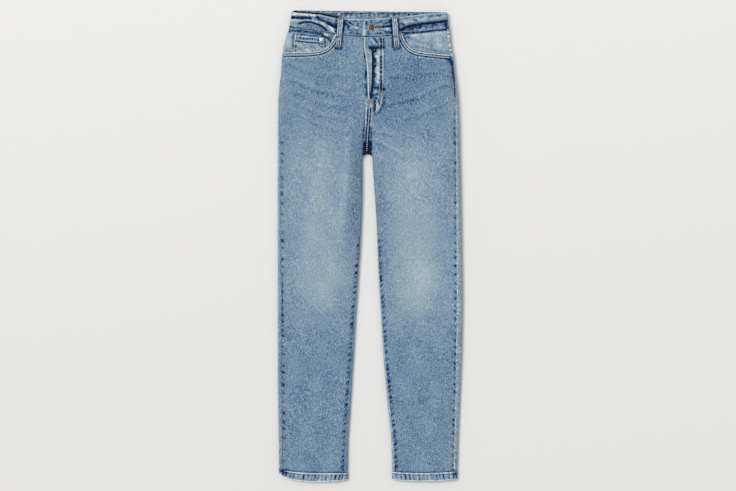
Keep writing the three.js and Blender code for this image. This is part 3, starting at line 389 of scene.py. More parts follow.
# Painted shade in the fly's trough, its button dents and beside its stitching, and painted highlights
# along the lap's edge and the stitched rows
FLY_SHADE_AND_HIGHLIGHTS = [
    ([(5.8, 444), (6.6, 400), (5.8, 366), (2.6, 334)], 2.3, 1.15),
    ([(8, 424), (12.5, 417), (13, 408), (8.5, 398)], 2.0, 0.8),
    ([(7, 432), (12, 438)], 2.0, 0.7),
    ([(7, 391), (13, 385), (9, 377)], 1.8, 0.55),
    ([(8, 370), (11, 362)], 1.8, 0.45),
    ([(0.5, 446), (12, 444.5), (30, 447)], 3.2, 1.1),
    ([(23, 466), (27, 456)], 2.4, 0.75),
    ([(27, 454), (22, 444)], 2.4, 0.7),
    ([(30, 466), (32, 452)], 1.8, 0.4),
    ([(8, 468), (16, 458)], 1.7, 0.6),
    ([(2, 466), (8, 456)], 2.2, -0.3),
    ([(6, 355), (20, 355), (32, 352)], 2.6, 0.75),
    ([(24, 370), (25, 350)], 4.2, 0.42),
    ([(4, 339), (22, 342)], 1.8, 0.6),
    ([(5, 334), (14, 331)], 1.8, 0.5),
    ([(11, 326), (10.5, 300)], 2.2, 0.75),
    ([(18, 328), (22, 318)], 1.8, 0.5),
    ([(13, 349), (13, 345)], 2.8, -0.3),
    ([(17, 324), (15, 308)], 2.0, -0.35),
    ([(15.5, 430), (16.5, 368)], 3.6, -0.24),
    ([(3.2, 437), (2.8, 350)], 1.3, -0.46),
    ([(-3.5, 440), (-2.5, 350)], 3.0, -0.14),
    ([(19.6, 440), (19.6, 366)], 1.4, -0.3),
    ([(29.5, 440), (29.5, 366)], 1.6, -0.3),
    ([(33, 440), (32, 366)], 1.4, 0.14),
    ([(27, 340), (26, 324), (19, 308), (9, 299)], 1.4, -0.24),
    ([(33, 340), (31, 318), (22, 302), (12, 295)], 2.6, 0.25),
    *(([(22.5, y), (26.5, y - 0.5)], 1.7, 0.95) for y in (424, 416.5, 409, 401, 391, 380, 372)),
]
# Painted shade in the waistband's folds and painted highlights on their crests
WAIST_SHADE_AND_HIGHLIGHTS = [
    ([(-182, 514), (-134, 512)], 2.9, 1.05),
    ([(-178, 508.5), (-160, 509)], 1.5, -0.3),
    ([(-174, 521), (-124, 518)], 1.9, -0.62),
    ([(-176, 507.5), (-140, 508)], 2.0, -0.25),
    ([(-158, 500), (-148, 503.5), (-133, 503.5), (-114, 497), (-104, 491), (-97, 484)], 2.1, 1.0),
    ([(-140, 508.5), (-118, 503), (-104, 497), (-92, 485)], 1.7, -0.32),
    ([(-145, 497), (-118, 491)], 3.2, 0.16),
    ([(-118, 513), (-101, 504), (-87, 497), (-73, 490)], 2.7, 0.95),
    ([(-112, 505.5), (-98, 498), (-76, 485)], 1.5, -0.4),
    ([(-94, 500), (-72, 492)], 4.4, 0.5),
    ([(-92, 494), (-79, 478)], 1.6, -0.36),
    ([(-58, 503), (-47, 493)], 2.0, 0.8),
    ([(-54, 508), (-44, 500)], 1.5, 0.5),
    ([(-46, 503), (-36, 494)], 1.5, 0.45),
    ([(-50, 489), (-40, 483)], 1.7, 0.5),
    ([(-38, 488), (-26, 484)], 1.5, 0.4),
    ([(-34, 507), (-26, 500)], 1.4, 0.4),
    ([(-29, 497), (-20, 492)], 1.5, 0.45),
    ([(-46, 479), (-20, 476)], 1.6, 0.35),
    ([(-42, 497), (-30, 489)], 1.6, -0.25),
    ([(-9, 503), (-6, 496)], 1.7, 0.5),
    ([(14, 501), (28, 504)], 1.5, 0.4),
    ([(30, 500), (44, 503)], 1.6, 0.5),
    ([(15, 479), (30, 477)], 1.6, 0.45),
    ([(16, 486), (30, 484.5)], 1.4, 0.35),
    ([(13, 492), (32, 492.5), (48, 495)], 1.7, 1.1),
    ([(36, 481.5), (50, 479)], 2.8, 0.78),
    ([(2, 508), (2, 502)], 1.5, 0.47),
    ([(-5, 482), (-3, 471)], 1.8, 0.54),
    ([(14, 486), (40, 487)], 3.6, -0.18),
    ([(68, 485), (84, 493), (110, 498.4), (147, 502.4), (184, 507.4)], 2.7, 1.0),
    ([(70, 482), (90, 488), (112, 493)], 4.6, 0.42),
    ([(112, 493), (182, 500)], 4.2, 0.24),
    ([(80, 504), (112, 509), (170, 515)], 5.0, -0.17),
    ([(22, 486), (44, 500)], 6, 0.1),
    ([(112, 513), (120, 513.5)], 1.4, 0.5),
    ([(134, 515), (141, 515.5)], 1.4, 0.5),
    ([(98, 509), (106, 507)], 1.6, 0.57),
    ([(150, 517), (158, 517.5)], 1.5, 0.49),
    ([(70, 500), (77, 496)], 2.2, 0.54),
    ([(170, 499), (174, 485)], 2.4, 0.49),
    ([(141, 502), (141, 486)], 1.1, 0.32),
    # painted shadows beside the belt loops
    ([(-75, 512), (-77.5, 480)], 1.9, 0.68),
    ([(-57, 509), (-60.5, 476)], 1.9, 0.62),
    ([(46.3, 514), (50.3, 478)], 2.1, 0.7),
    ([(63.6, 513), (66.5, 480)], 1.9, 0.57),
]
# Painted shadow that the front of the waistband casts onto the inner face of its back, and a painted
# highlight along the back's top edge
INNER_BAND_SHADOW = [
    ([(-178, 529.5), (-160, 527.5), (-112, 521.5), (-74, 514)], 2.6, 1.1),
    ([(-108, 520), (-76, 514.5)], 3.0, 1.0),
    ([(-176, 530), (60, 527.5), (172, 526.5)], 1.2, 0.35),
    ([(-60, 524.5), (60, 523.5), (165, 522.5)], 1.2, 0.42),
    ([(-30, 529), (165, 527)], 1.0, -0.3),
]

# Where the wash has faded the cloth: a line in plan, its reach and how much paler
FADES = {
    "right": [
        ([(-118, 180), (-114, 60), (-110, -80)], 66, 0.142),
        ([(-112, -60), (-110, -150)], 54, 0.02),
        ([(-50, 238), (-56, 140), (-64, 50)], 7, 0.05),
        ([(-36, 250), (-32, 120), (-40, 0)], 14, -0.07),
        ([(-110, 400), (-70, 340)], 60, -0.03),
    ],
    "left": [
        ([(90, 172), (100, 60), (108, -80)], 64, 0.15),
        ([(110, -70), (112, -160)], 54, 0.055),
        ([(20, 180), (24, 60), (32, -60)], 12, -0.08),
        ([(110, 400), (60, 330)], 62, -0.095),
    ],
}


def path_distance(x, y, line):
    """Distance in plan to a line through points."""
    least = np.full(np.broadcast(x, y).shape, np.inf)
    for (x0, y0), (x1, y1) in zip(line, line[1:]):
        dx, dy = x1 - x0, y1 - y0
        t = np.clip(((x - x0) * dx + (y - y0) * dy) / (dx * dx + dy * dy), 0, 1)
        least = np.minimum(least, (x - x0 - t * dx) ** 2 + (y - y0 - t * dy) ** 2)
    return np.sqrt(least)


def bump(x, y, line, reach):
    """1 on a line, falling off smoothly to both sides."""
    return hill(path_distance(x, y, line), reach)


def crease_height(creases, x, y):
    return sum(rise * bump(x, y, line, reach) for line, rise, reach in creases)


def marks(rows, x, y):
    return sum(amount * bump(x, y, line, reach) for line, reach, amount in rows)


def lowered(line, drop):
    return [(x, y - drop) for x, y in line]


def section(column, y):
    return SECTION[column](y)


def back_lift(y):
    return BACK_LIFT * ease(185, 250, y)


def arch_half_width(leg):
    return abs(float(INNER_EDGE[leg](ARCH_SPRING_Y)) - CROTCH_X)


def inner_x(leg, y):
    """Inner silhouette of a leg, the rounded crotch, or the centre seam above it."""
    y = np.asarray(y, float)
    up = np.clip((y - ARCH_SPRING_Y) / CROTCH_ARCH, 0, 1)
    across = np.maximum(arch_half_width(leg) * np.sqrt(1 - up * up), SEAM_GAP / 2)
    x = np.where(y <= ARCH_SPRING_Y, INNER_EDGE[leg](y), CROTCH_X + SIGN[leg] * across)
    return np.where(y >= CROTCH_Y, CENTRE(y) + SIGN[leg] * SEAM_GAP / 2, x)


def gap_distance(leg, x, y):
    """Distance to the gap between the legs."""
    half = arch_half_width(leg)
    reach = np.hypot((x - CROTCH_X) / half, (y - ARCH_SPRING_Y) / CROTCH_ARCH)
    beside = SIGN[leg] * (x - INNER_EDGE[leg](y))
    return np.maximum(0, np.where(y <= ARCH_SPRING_Y, beside, (reach - 1) * half))


def side_distance(leg, x, y):
    return np.abs(SIDE_EDGE[leg](y) - x)


def edge_distance(leg, x, y):
    """Distance to a leg's silhouette: its side or, from the crotch down, the gap."""
    from_gap = np.where(y > CROTCH_Y + 10, np.inf, gap_distance(leg, x, y))
    return np.minimum(side_distance(leg, x, y), from_gap)


def inner_roll(leg, y):
    return mix(ARCH_ROLL, section(f"inner_roll_{leg}", y), ease(CROTCH_Y, ARCH_SPRING_Y - 25, y))


# Seams pucker where the thread has drawn them in: each seam has its own even but not quite
# regular row of small dents
def dent_row(seed, low, high, pitch, length):
    """How strongly a seam is drawn in at each half millimetre along it."""
    spread = np.random.default_rng(seed)
    at = np.arange(low, high, 0.5)
    total = np.zeros(at.shape)
    place = low
    while place < high:
        strength = spread.uniform(0.35, 1)
        reach = length * spread.uniform(0.7, 1.4)
        total += strength * hill(at - place, reach)
        place += pitch * spread.uniform(0.65, 1.35)
    return at, np.clip(total, 0, 1.1)


# Leg, seam, seed, y range, pitch, and of a dent: length, distance past the seam, reach and slant
SEAM_DENTS = [
    ("right", "side", 11, (-505, 250), 20, 2.8, 4, 2.8, 0.4),
    ("left", "side", 23, (-505, 300), 17, 2.6, 3, 2.6, -0.4),
    ("right", "inner", 37, (-505, 20), 12.6, 2.7, 3.5, 3.2, 0.45),
    ("left", "inner", 41, (-505, 20), 12.2, 2.7, 3.5, 3.2, -0.5),
]
DENT_ROWS = {
    row[:2]: (*dent_row(row[2], row[3][0], row[3][1], row[4], row[5]), *row[6:])
    for row in SEAM_DENTS
}


def seam_dents(leg, x, y):
    """How strongly a leg's seams draw in the cloth, 0 to 1."""
    from_side = side_distance(leg, x, y)
    total = 0
    for seam, distance in (("side", from_side), ("inner", gap_distance(leg, x, y))):
        at, row, past, reach, slant = DENT_ROWS[leg, seam]
        seam_name = "outseam" if seam == "side" else "inseam"
        offset = section(f"{seam_name}_{leg}", y) + past
        drawn = np.interp(y + slant * (distance - offset), at, row, left=0, right=0)
        total = total + drawn * hill(distance - offset, reach)
    return total


def beat(at, pitch, sway, reach):
    """Marks at an uneven pitch, from 0 between them to 1 on them."""
    return 0.5 + 0.5 * np.cos(at * math.tau / pitch + sway * np.sin(at / reach))


def waves(x, y, seed, wavelength, count):
    """Low uneven swell of cloth that has been folded and smoothed, about -1 to 1."""
    spread = np.random.default_rng(seed)
    total = np.zeros(np.broadcast(x, y).shape)
    for _ in range(count):
        turn = spread.uniform(0, math.tau)
        length = wavelength * spread.uniform(0.6, 1.7)
        k = math.tau / length
        phase = spread.uniform(0, math.tau)
        total += np.sin(k * (x * math.cos(turn) + y * math.sin(turn)) + phase)
    return total / math.sqrt(count)


def front_height(leg, x, y):
    """Outer face of the front, as the solid has it."""
    crown, edge = section("crown", y), section("edge", y)
    from_side = side_distance(leg, x, y)
    side_drop = (crown - edge) * (1 - quarter(from_side, section("side_roll", y)))
    from_centre = np.abs(x - CENTRE(np.maximum(y, CROTCH_Y)))
    valley = (
        (crown - section("seam", y))
        * (1 - ease(4, 30, from_centre))
        * ease(ARCH_SPRING_Y - 30, CROTCH_Y, y)
    )
    gap = quarter(gap_distance(leg, x, y), inner_roll(leg, y))
    inside = ease(1, 9, edge_distance(leg, x, y))
    return mix(edge, crown - side_drop - valley, gap) + crease_height(CREASES, x, y) * inside


def fine_relief(leg, x, y):
    """Small folds, drawn seams and swell that the solid leaves out."""
    inside = ease(0.5, 8, edge_distance(leg, x, y))
    small = crease_height(FINE_CREASES, x, y)
    for line, rise, reach, _ in WHISKERS[leg]:
        small = small + rise * bump(x, y, line, reach)
        small = small - rise * bump(x, y, lowered(line, 2 * reach), reach)
    swell = 0.22 * waves(x, y, 5, 130, 9) + 0.10 * waves(x, y, 8, 38, 12)
    return (small + swell - 1.1 * seam_dents(leg, x, y)) * inside


def fly_raise(x, y):
    raised = ease(FLY_FOOT_X, FLY_FLAT_X, x) * ease(FLY_FOOT_Y, FLY_END_Y - 2, y)
    return FLY_RAISE * raised


def top_height(leg, x, y):
    """Outer face of the front with its small folds."""
    height = front_height(leg, x, y) + fine_relief(leg, x, y)
    return np.maximum(height, section("edge", y) + SEAM_GAP / 2)


def panel_height(leg, x, y):
    """Top of the front panel: the left one has the fly's lap."""
    height = top_height(leg, x, y)
    if leg == "left":
        on_lap = ease(44, 30, x) * ease(290, 306, y)
        height = height + fly_raise(x, y) + crease_height(FLY_CREASES, x, y) * on_lap
    return height


def back_height(leg, x, y):
    lift, edge = back_lift(y), section("edge", y)
    from_side = side_distance(leg, x, y)
    side_rise = (edge - lift) * (1 - quarter(from_side, UNDER_ROLL))
    inner_rise = (edge - lift) * (1 - quarter(gap_distance(leg, x, y), UNDER_ROLL))
    return np.minimum(edge - SEAM_GAP / 2, lift + side_rise + inner_rise)


def facing_up(height, x, y, step=0.02):
    """Which way a face that is a height over the plan looks."""
    dx = (height(x + step, y) - height(x - step, y)) / (2 * step)
    dy = (height(x, y + step) - height(x, y - step)) / (2 * step)
    look = xyz(-dx, -dy, 1.0)
    return look / np.linalg.norm(look, axis=-1, keepdims=True)


def seam_angle(offset, roll, height, direction):
    angle = np.arccos(1 - np.clip(offset / roll, 0, 1))
    speed = np.hypot(roll * np.sin(angle), height * np.cos(angle))
    return angle + direction * SEAM_GAP / 2 / speed


def seam_angles(leg, y, direction):
    height = section("crown", y) - section("edge", y)
    out = seam_angle(section(f"outseam_{leg}", y), section("side_roll", y), height, direction)
    inner = seam_angle(section(f"inseam_{leg}", y), inner_roll(leg, y), height, direction)
    return out, inner


def front_limits(leg, y):
    """Plan limits of the front panel: the outseam, and the inseam or the front's edge."""
    y = np.asarray(y, float)
    out, inn = seam_angles(leg, y, 1)
    side = SIDE_EDGE[leg](y) - SIGN[leg] * section("side_roll", y) * (1 - np.cos(out))
    turned = inner_x(leg, y) + SIGN[leg] * inner_roll(leg, y) * (1 - np.cos(inn))
    inner = np.where(y < CROTCH_Y, turned, inner_x(leg, y))
    if leg == "left":
        lap = np.minimum(inner, mix(inner, FLY_EDGE(y), ease(FLY_END_Y, FLY_END_Y + 12, y)))
        inner = np.where(y > FLY_END_Y, lap, inner)
    return side, inner


def wash_tone(leg, x, y):
    """How pale (+) or dark (-) the wash has left the top of a leg."""
    tone = sum(strength * bump(x, y, line, reach) for line, reach, strength in FADES[leg])
    return tone + 0.02 * waves(x, y, 3, 70, 10) - 0.015 * ease(-150, -210, y)


def dark_tone(leg, x, y):
    """How dark the top of a leg is: blue kept in drawn seams, painted shade in folds, the crotch
    valley, on the fly and beside the loops, and painted highlights.
    """
    dark = 0.72 * seam_dents(leg, x, y) + 0.012 * ease(-120, -300, y)
    dark = dark + marks(RIGHT_FRONT_SHADE_AND_HIGHLIGHTS if leg == "right" else LEFT_FRONT_SHADE_AND_HIGHLIGHTS, x, y)
    for line, _, reach, strength in WHISKERS[leg]:
        dark = dark - 0.65 * strength * bump(x, y, line, reach)
        dark = dark + 0.8 * strength * bump(x, y, lowered(line, 2 * reach), reach)
    if leg == "left":
        dark = dark + marks(FLY_SHADE_AND_HIGHLIGHTS, x, y) * ease(46, 40, x) * ease(288, 296, y)
    from_side = side_distance(leg, x, y)
    if leg == "right":
        # painted highlight along the outer edge that faces the light
        dark = dark - 0.2 * hill(from_side, 1.8)
    else:
        from_seam = from_side - section("outseam_left", y)
        dark = dark - 0.16 * hill(from_seam, 1.3) * ease(340, 300, y)
    return dark


def graded(rows):
    """Places from the first row's to the last's, spaced by the pitch that each row names."""
    place, pitch = np.array(rows, float).T
    fine = np.linspace(place[0], place[-1], 4000)
    density = 1 / np.interp(fine, place, pitch)
    steps = (density[1:] + density[:-1]) / 2 * np.diff(fine)
    count = np.concatenate([[0], np.cumsum(steps)])
    return np.interp(np.linspace(0, count[-1], max(1, round(count[-1])) + 1), count, fine)


# Colours

def rgb(r, g, b):
    """A screen colour as the light values that the shaders use."""
    def light(v):
        v /= 255
        return v / 12.92 if v <= 0.04045 else ((v + 0.055) / 1.055) ** 2.4
    return (light(r), light(g), light(b), 1.0)


def add_node(tree, kind, **settings):
    node = tree.nodes.new(kind)
    for key, value in settings.items():
        if key in node.inputs.keys():
            node.inputs[key].default_value = value
        else:
            setattr(node, key, value)
    return node


def number(tree, operation, *values):
    """A maths node whose inputs are numbers or other nodes' sockets."""
    node = tree.nodes.new("ShaderNodeMath")
    node.operation = operation
    for socket, value in zip(node.inputs, values):
        if isinstance(value, (int, float)):
            socket.default_value = value
        else:
            tree.links.new(value, socket)
    return node.outputs[0]


def scaled_noise(tree, place, scale, detail, roughness=0.5):
    """Noise at so many features a metre along x, y and z."""
    mapping = add_node(tree, "ShaderNodeMapping", Scale=scale)
    noise = add_node(
        tree, "ShaderNodeTexNoise", Scale=1.0, Detail=detail, Roughness=roughness,
    )
    tree.links.new(place, mapping.inputs["Vector"])
    tree.links.new(mapping.outputs["Vector"], noise.inputs["Vector"])
    return noise.outputs["Fac"]


def attribute(tree, name):
    return add_node(tree, "ShaderNodeAttribute", attribute_name=name).outputs["Fac"]


DENIM_SHADES = [
    (0.0, (5, 27, 54)),
    (0.16, (21, 56, 98)),
    (0.35, (69, 103, 141)),
    (0.55, (115, 142, 164)),
    (0.72, (146, 168, 182)),
    (0.86, (184, 197, 201)),
    (1.0, (228, 230, 224)),
]


def new_material(name):
    """A material, its node tree, its shader and the place on the piece."""
    material = bpy.data.materials.new(name)
    material.use_nodes = True
    tree = material.node_tree
    place = tree.nodes.new("ShaderNodeTexCoord").outputs["Object"]
    return material, tree, tree.nodes["Principled BSDF"], place


def link_colour(tree, shader, level, shades):
    """Colours the shader by a level, through (position, colour) rows."""
    ramp = tree.nodes.new("ShaderNodeValToRGB")
    stops = ramp.color_ramp.elements
    while len(stops) < len(shades):
        stops.new(0.5)
    for stop, (position, colour) in zip(stops, shades):
        stop.position = position
        stop.color = colour
    tree.links.new(level, ramp.inputs["Fac"])
    tree.links.new(ramp.outputs["Color"], shader.inputs["Base Color"])


def link_roughness(tree, shader, grain, share, least):
    rough = number(tree, "ADD", number(tree, "MULTIPLY", grain, share), least)
    tree.links.new(rough, shader.inputs["Roughness"])


def link_relief(tree, shader, relief, strength, distance):
    node = add_node(tree, "ShaderNodeBump", Strength=strength, Distance=distance)
    tree.links.new(relief, node.inputs["Height"])
    tree.links.new(node.outputs["Normal"], shader.inputs["Normal"])


def denim_material(name, tone, contrast):
    """Washed twill: pale weft and blue warp threads, faded and dark where the maps say."""
    material, tree, shader, place = new_material(name)
    slub = scaled_noise(tree, place, (620, 170, 620), 3)
    weft = scaled_noise(tree, place, (250, 620, 620), 2)
    grain = scaled_noise(tree, place, (560, 520, 560), 4, 0.8)
    mottle = scaled_noise(tree, place, (80, 62, 80), 4, 0.6)
    twill = add_node(
        tree, "ShaderNodeTexWave", wave_type="BANDS", bands_direction="DIAGONAL",
        Scale=190.0, Distortion=1.2, Detail=2.0,
    )
    twill.inputs["Detail Scale"].default_value = 2.0
    tree.links.new(place, twill.inputs["Vector"])
    twill_line = twill.outputs["Fac"]

    def centred(value, weight):
        return number(tree, "MULTIPLY", number(tree, "SUBTRACT", value, 0.5), weight)

    total = centred(slub, 1.3)
    for value, weight in ((weft, 0.55), (grain, 3.2), (mottle, 0.18), (twill_line, 0.12)):
        total = number(tree, "ADD", total, centred(value, weight))
    fade = attribute(tree, "fade")
    uneven = number(tree, "MULTIPLY_ADD", scaled_noise(tree, place, (190, 190, 190), 3), 4.0, -1.0)
    uneven = number(tree, "MAXIMUM", uneven, 0.2)
    dark = number(tree, "MULTIPLY", attribute(tree, "dark"), uneven)
    calm = number(tree, "SUBTRACT", 1.0, number(tree, "MULTIPLY", fade, 2.6))
    variation = number(tree, "MULTIPLY", number(tree, "MULTIPLY", total, contrast), calm)
    level = number(tree, "ADD", number(tree, "ADD", variation, tone), fade)
    level = number(tree, "SUBTRACT", level, dark)
    link_colour(tree, shader, level, [(at, rgb(*colour)) for at, colour in DENIM_SHADES])
    link_roughness(tree, shader, grain, 0.1, 0.89)
    shader.inputs["Specular IOR Level"].default_value = 0.12
    shader.inputs["Sheen Weight"].default_value = 0.04
    shader.inputs["Sheen Roughness"].default_value = 0.6
    relief = number(tree, "ADD", number(tree, "MULTIPLY", grain, 0.8), twill_line)
    relief = number(tree, "ADD", relief, number(tree, "MULTIPLY", slub, 0.7))
    link_relief(tree, shader, relief, 0.35, 0.0004)
    return material


def thread_material(name, colour, worn):
    """Twisted cotton thread, paler where it has worn."""
    material, tree, shader, place = new_material(name)
    fleck = scaled_noise(tree, place, (260, 260, 260), 3, 0.6)
    ply = scaled_noise(tree, place, (2600, 2600, 2600), 1)
    link_colour(tree, shader, fleck, [(0.3, colour), (0.72, worn)])
    link_roughness(tree, shader, ply, 0.2, 0.6)
    link_relief(tree, shader, ply, 0.4, 0.0002)
    return material


def metal_material(name, pale, worn, scratch):
    """Brushed metal with darker patina in patches."""
    material, tree, shader, place = new_material(name)
    patina = scaled_noise(tree, place, (420, 420, 420), 4, 0.65)
    brushing = scaled_noise(tree, place, (300, 5200, 1500), 2)
    link_colour(tree, shader, patina, [(0.38, worn), (0.62, pale)])
    shader.inputs["Metallic"].default_value = 1.0
    link_roughness(tree, shader, brushing, 0.25, scratch)
    link_relief(tree, shader, brushing, 0.15, 0.0001)
    return material


# Meshes

def make_piece(name, points, quads, material, maps=None):
    """A mesh piece in metres that rides on the garment's one body."""
    mesh = bpy.data.meshes.new(name)
    points = np.asarray(points, float) / 1000
    mesh.vertices.add(len(points))
    mesh.vertices.foreach_set("co", points.ravel())
    quads = np.asarray(quads, np.int32)
    mesh.loops.add(quads.size)
    mesh.loops.foreach_set("vertex_index", quads.ravel())
    mesh.polygons.add(len(quads))
    mesh.polygons.foreach_set("loop_start", np.arange(0, quads.size, quads.shape[1]))
    mesh.polygons.foreach_set("use_smooth", np.ones(len(quads), bool))
    for key, values in (maps or {}).items():
        layer = mesh.attributes.new(key, "FLOAT", "POINT")
        layer.data.foreach_set("value", np.asarray(values, np.float32).ravel())
    mesh.update(calc_edges=True)
    if mesh.validate():
        raise RuntimeError(f"{name} has faces that fold onto themselves")
    mesh.materials.append(material)
    piece = bpy.data.objects.new(name, mesh)
    bpy.context.scene.collection.objects.link(piece)
    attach(piece, "root")
    return piece


def shell(name, outer, look, wall, material, fade=0.0, dark=0.0, inner_dark=None, ring=False):
    """A wall of cloth from a grid of its outer face, with rounded cut edges. The inner face is as
    dark as the outer one, or as inner_dark says."""
    rows, columns = outer.shape[:2]
    inner = outer - look * wall
    count = rows * columns
    index = np.arange(count).reshape(rows, columns)
    nxt = np.roll(index, -1, axis=1)
    if not ring:
        index_left, index_right = index[:, :-1], nxt[:, :-1]
    else:
        index_left, index_right = index, nxt
    face = np.stack(
        [index_left[:-1], index_right[:-1], index_right[1:], index_left[1:]], -1
    ).reshape(-1, 4)
    back = face[:, ::-1] + count
    loops = []
    if ring:
        loops.append((index[0], index[1]))
        loops.append((index[-1][::-1], index[-2][::-1]))
    else:
        around = np.concatenate(
            [index[0, :-1], index[:-1, -1], index[-1, :0:-1], index[:0:-1, 0]]
        )
        row, column = np.divmod(around, columns)
        inwards = np.clip(row, 1, rows - 2) * columns + np.clip(column, 1, columns - 2)
        loops.append((around, inwards))
    flat_outer, flat_inner = outer.reshape(-1, 3), inner.reshape(-1, 3)
    points = [flat_outer, flat_inner]
    used = 2 * count
    faces = [face, back]
    for around, inwards in loops:
        middle = (flat_outer[around] + flat_inner[around]) / 2
        outwards = flat_outer[around] - flat_outer[inwards]
        outwards /= np.maximum(np.linalg.norm(outwards, axis=1, keepdims=True), 1e-6)
        points.append(middle + outwards * min(0.35 * wall, 0.12))
        rim = used + np.arange(len(around))
        used += len(around)
        follow, rim_follow = np.roll(around, -1), np.roll(rim, -1)
        faces.append(np.stack([follow, around, rim, rim_follow], -1))
        faces.append(np.stack([rim_follow, rim, around + count, follow + count], -1))
    a, b, c = outer[0, 0], outer[0, 1], outer[1, 0]
    faces = np.concatenate(faces)
    if np.dot(np.cross(b - a, c - a), look[0, 0]) < 0:
        faces = faces[:, ::-1]

    def spread_map(values):
        return np.broadcast_to(np.asarray(values, float), (rows, columns)).ravel()

    full = {}
    under_dark = dark if inner_dark is None else inner_dark
    for key, above, under in (("fade", fade, fade), ("dark", dark, under_dark)):
        values, below = spread_map(above), spread_map(under)
        full[key] = np.concatenate([values, below] + [values[around] for around, _ in loops])
    return make_piece(name, np.concatenate(points), faces, material, full)


def sheet(node):
    """Hides the solid that a cloth piece stands for."""
    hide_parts(node)


def spread(start, end, pitch):
    count = max(1, round(abs(end - start) / pitch))
    return np.linspace(start, end, count + 1)


EDGE_STEPS = np.array([0, 0.35, 0.8, 1.4, 2.2, 3.4, 5, 7, 9.5, 12.5, 16])


def edged_places(low, high, pitch, steps_low=EDGE_STEPS, steps_high=EDGE_STEPS):
    """Places from low to high, closer together at both ends."""
    start, end = low + steps_low, high - steps_high[::-1]
    middle = spread(start[-1], end[0], pitch)[1:-1]
    return np.concatenate([start, middle, end])


def front_rows_y():
    crotch = np.array([
        216, 213.5, 211.5, 209.8, 208.4, CROTCH_Y, 206, 204.8, 203.4, 201.6, 199.4, 197,
    ])
    upper = spread(UPPER_ROWS_Y, 218.5, 2.8)
    lower = -graded([(-ARCH_SPRING_Y, 3.2), (-20, 3.2), (30, 2.4), (-HEM_ROWS_Y, 2.4)])
    return np.concatenate([upper, crotch, lower])


# Column pitches of the fronts: distance from the outseam, pitch. They are closer at both edges,
# across the steep part of the pocket's mouth and, on the left, over the fly.
FRONT_PITCHES = {
    "right": [(0, 0.35), (6, 1.2), (14, 2.6), (86, 3.2), (98, 1.3), (121, 1.3), (132, 3.2),
              (162, 2.6), (174, 1.5), (188, 1.1), (193, 0.35)],
    "left": [(0, 0.35), (6, 1.2), (14, 2.8), (78, 3.2), (88, 1.5), (115, 1.5), (124, 3),
             (142, 2.6), (150, 1.5), (188, 1.3), (193, 0.35)],
}


def front_grid(leg):
    """Plan of the front panel: rows from the pocket's mouth and the waist seam to the hem."""
    sign = SIGN[leg]
    mouth = MOUTH_POINTS[leg]
    end_x = mouth[-1][0]
    side, inner = (float(v) for v in front_limits(leg, mouth[0][1]))
    distances = graded(FRONT_PITCHES[leg])
    fraction = distances / distances[-1]
    level = mix(side, inner, fraction)
    on_mouth = sign * (level - end_x) > 0
    across = (level - end_x) / (inner - end_x)
    waist_inner = float(front_limits(leg, float(WAIST_SEAM(inner)))[1])
    top_x = np.where(on_mouth, level, mix(end_x, waist_inner, across))
    top_y = np.where(on_mouth, MOUTH[leg](level), WAIST_SEAM(top_x) - WAIST_GAP)
    start_y = UPPER_ROWS_Y
    shares = graded([(0, 0.008), (0.05, 0.024), (0.35, 0.026), (1, 0.055)])[:-1, None]
    y = mix(top_y[None], start_y, shares)
    s, i = front_limits(leg, y)
    rows_x = [mix(top_x, mix(s, i, fraction), ease(0, 0.9, shares))]
    rows_y = [y]
    y = np.repeat(front_rows_y()[:, None], len(fraction), 1)
    s, i = front_limits(leg, y)
    rows_x.append(mix(s, i, fraction))
    rows_y.append(y)
    hem_s, hem_i = (float(v) for v in front_limits(leg, HEM_PLAN_Y))
    hem_y = HEM_LINE[leg](mix(hem_s, hem_i, fraction)) + HEM_GAP
    y = mix(HEM_ROWS_Y, hem_y[None], np.array([0.25, 0.5, 0.7, 0.85, 0.95, 1.0])[:, None])
    s, i = front_limits(leg, y)
    rows_x.append(mix(s, i, fraction))
    rows_y.append(y)
    return np.concatenate(rows_x), np.concatenate(rows_y)


def mouth_tone(from_mouth, along):
    """Worn edge, sewn rows and drawn-in cloth between them along a pocket's mouth, with painted shadow
    under the doubled band's edge and a painted highlight past it.
    """
    dash = 0.65 + 0.35 * np.cos(along * math.tau / 8.4 + 0.8 * np.sin(along / 9))
    return (
        -0.36 * hill(from_mouth - 1.5, 1.4)
        + 0.60 * dash * hill(from_mouth - 4.2, 1.0)
        - 0.30 * hill(from_mouth - 6.6, 1.1)
        + 1.00 * dash * hill(from_mouth - 9.3, 1.2)
        - 0.20 * hill(from_mouth - 12.4, 1.5)
    )


def grid_distance(x, y, z=None):
    """Distance along the rows from each grid point to the first and the last column."""
    step = np.hypot(np.diff(x, axis=1), np.diff(y, axis=1))
    if z is not None:
        step = np.hypot(step, np.diff(z, axis=1))
    first = np.concatenate([np.zeros((len(x), 1)), np.cumsum(step, axis=1)], axis=1)
    return first, first[:, -1:] - first


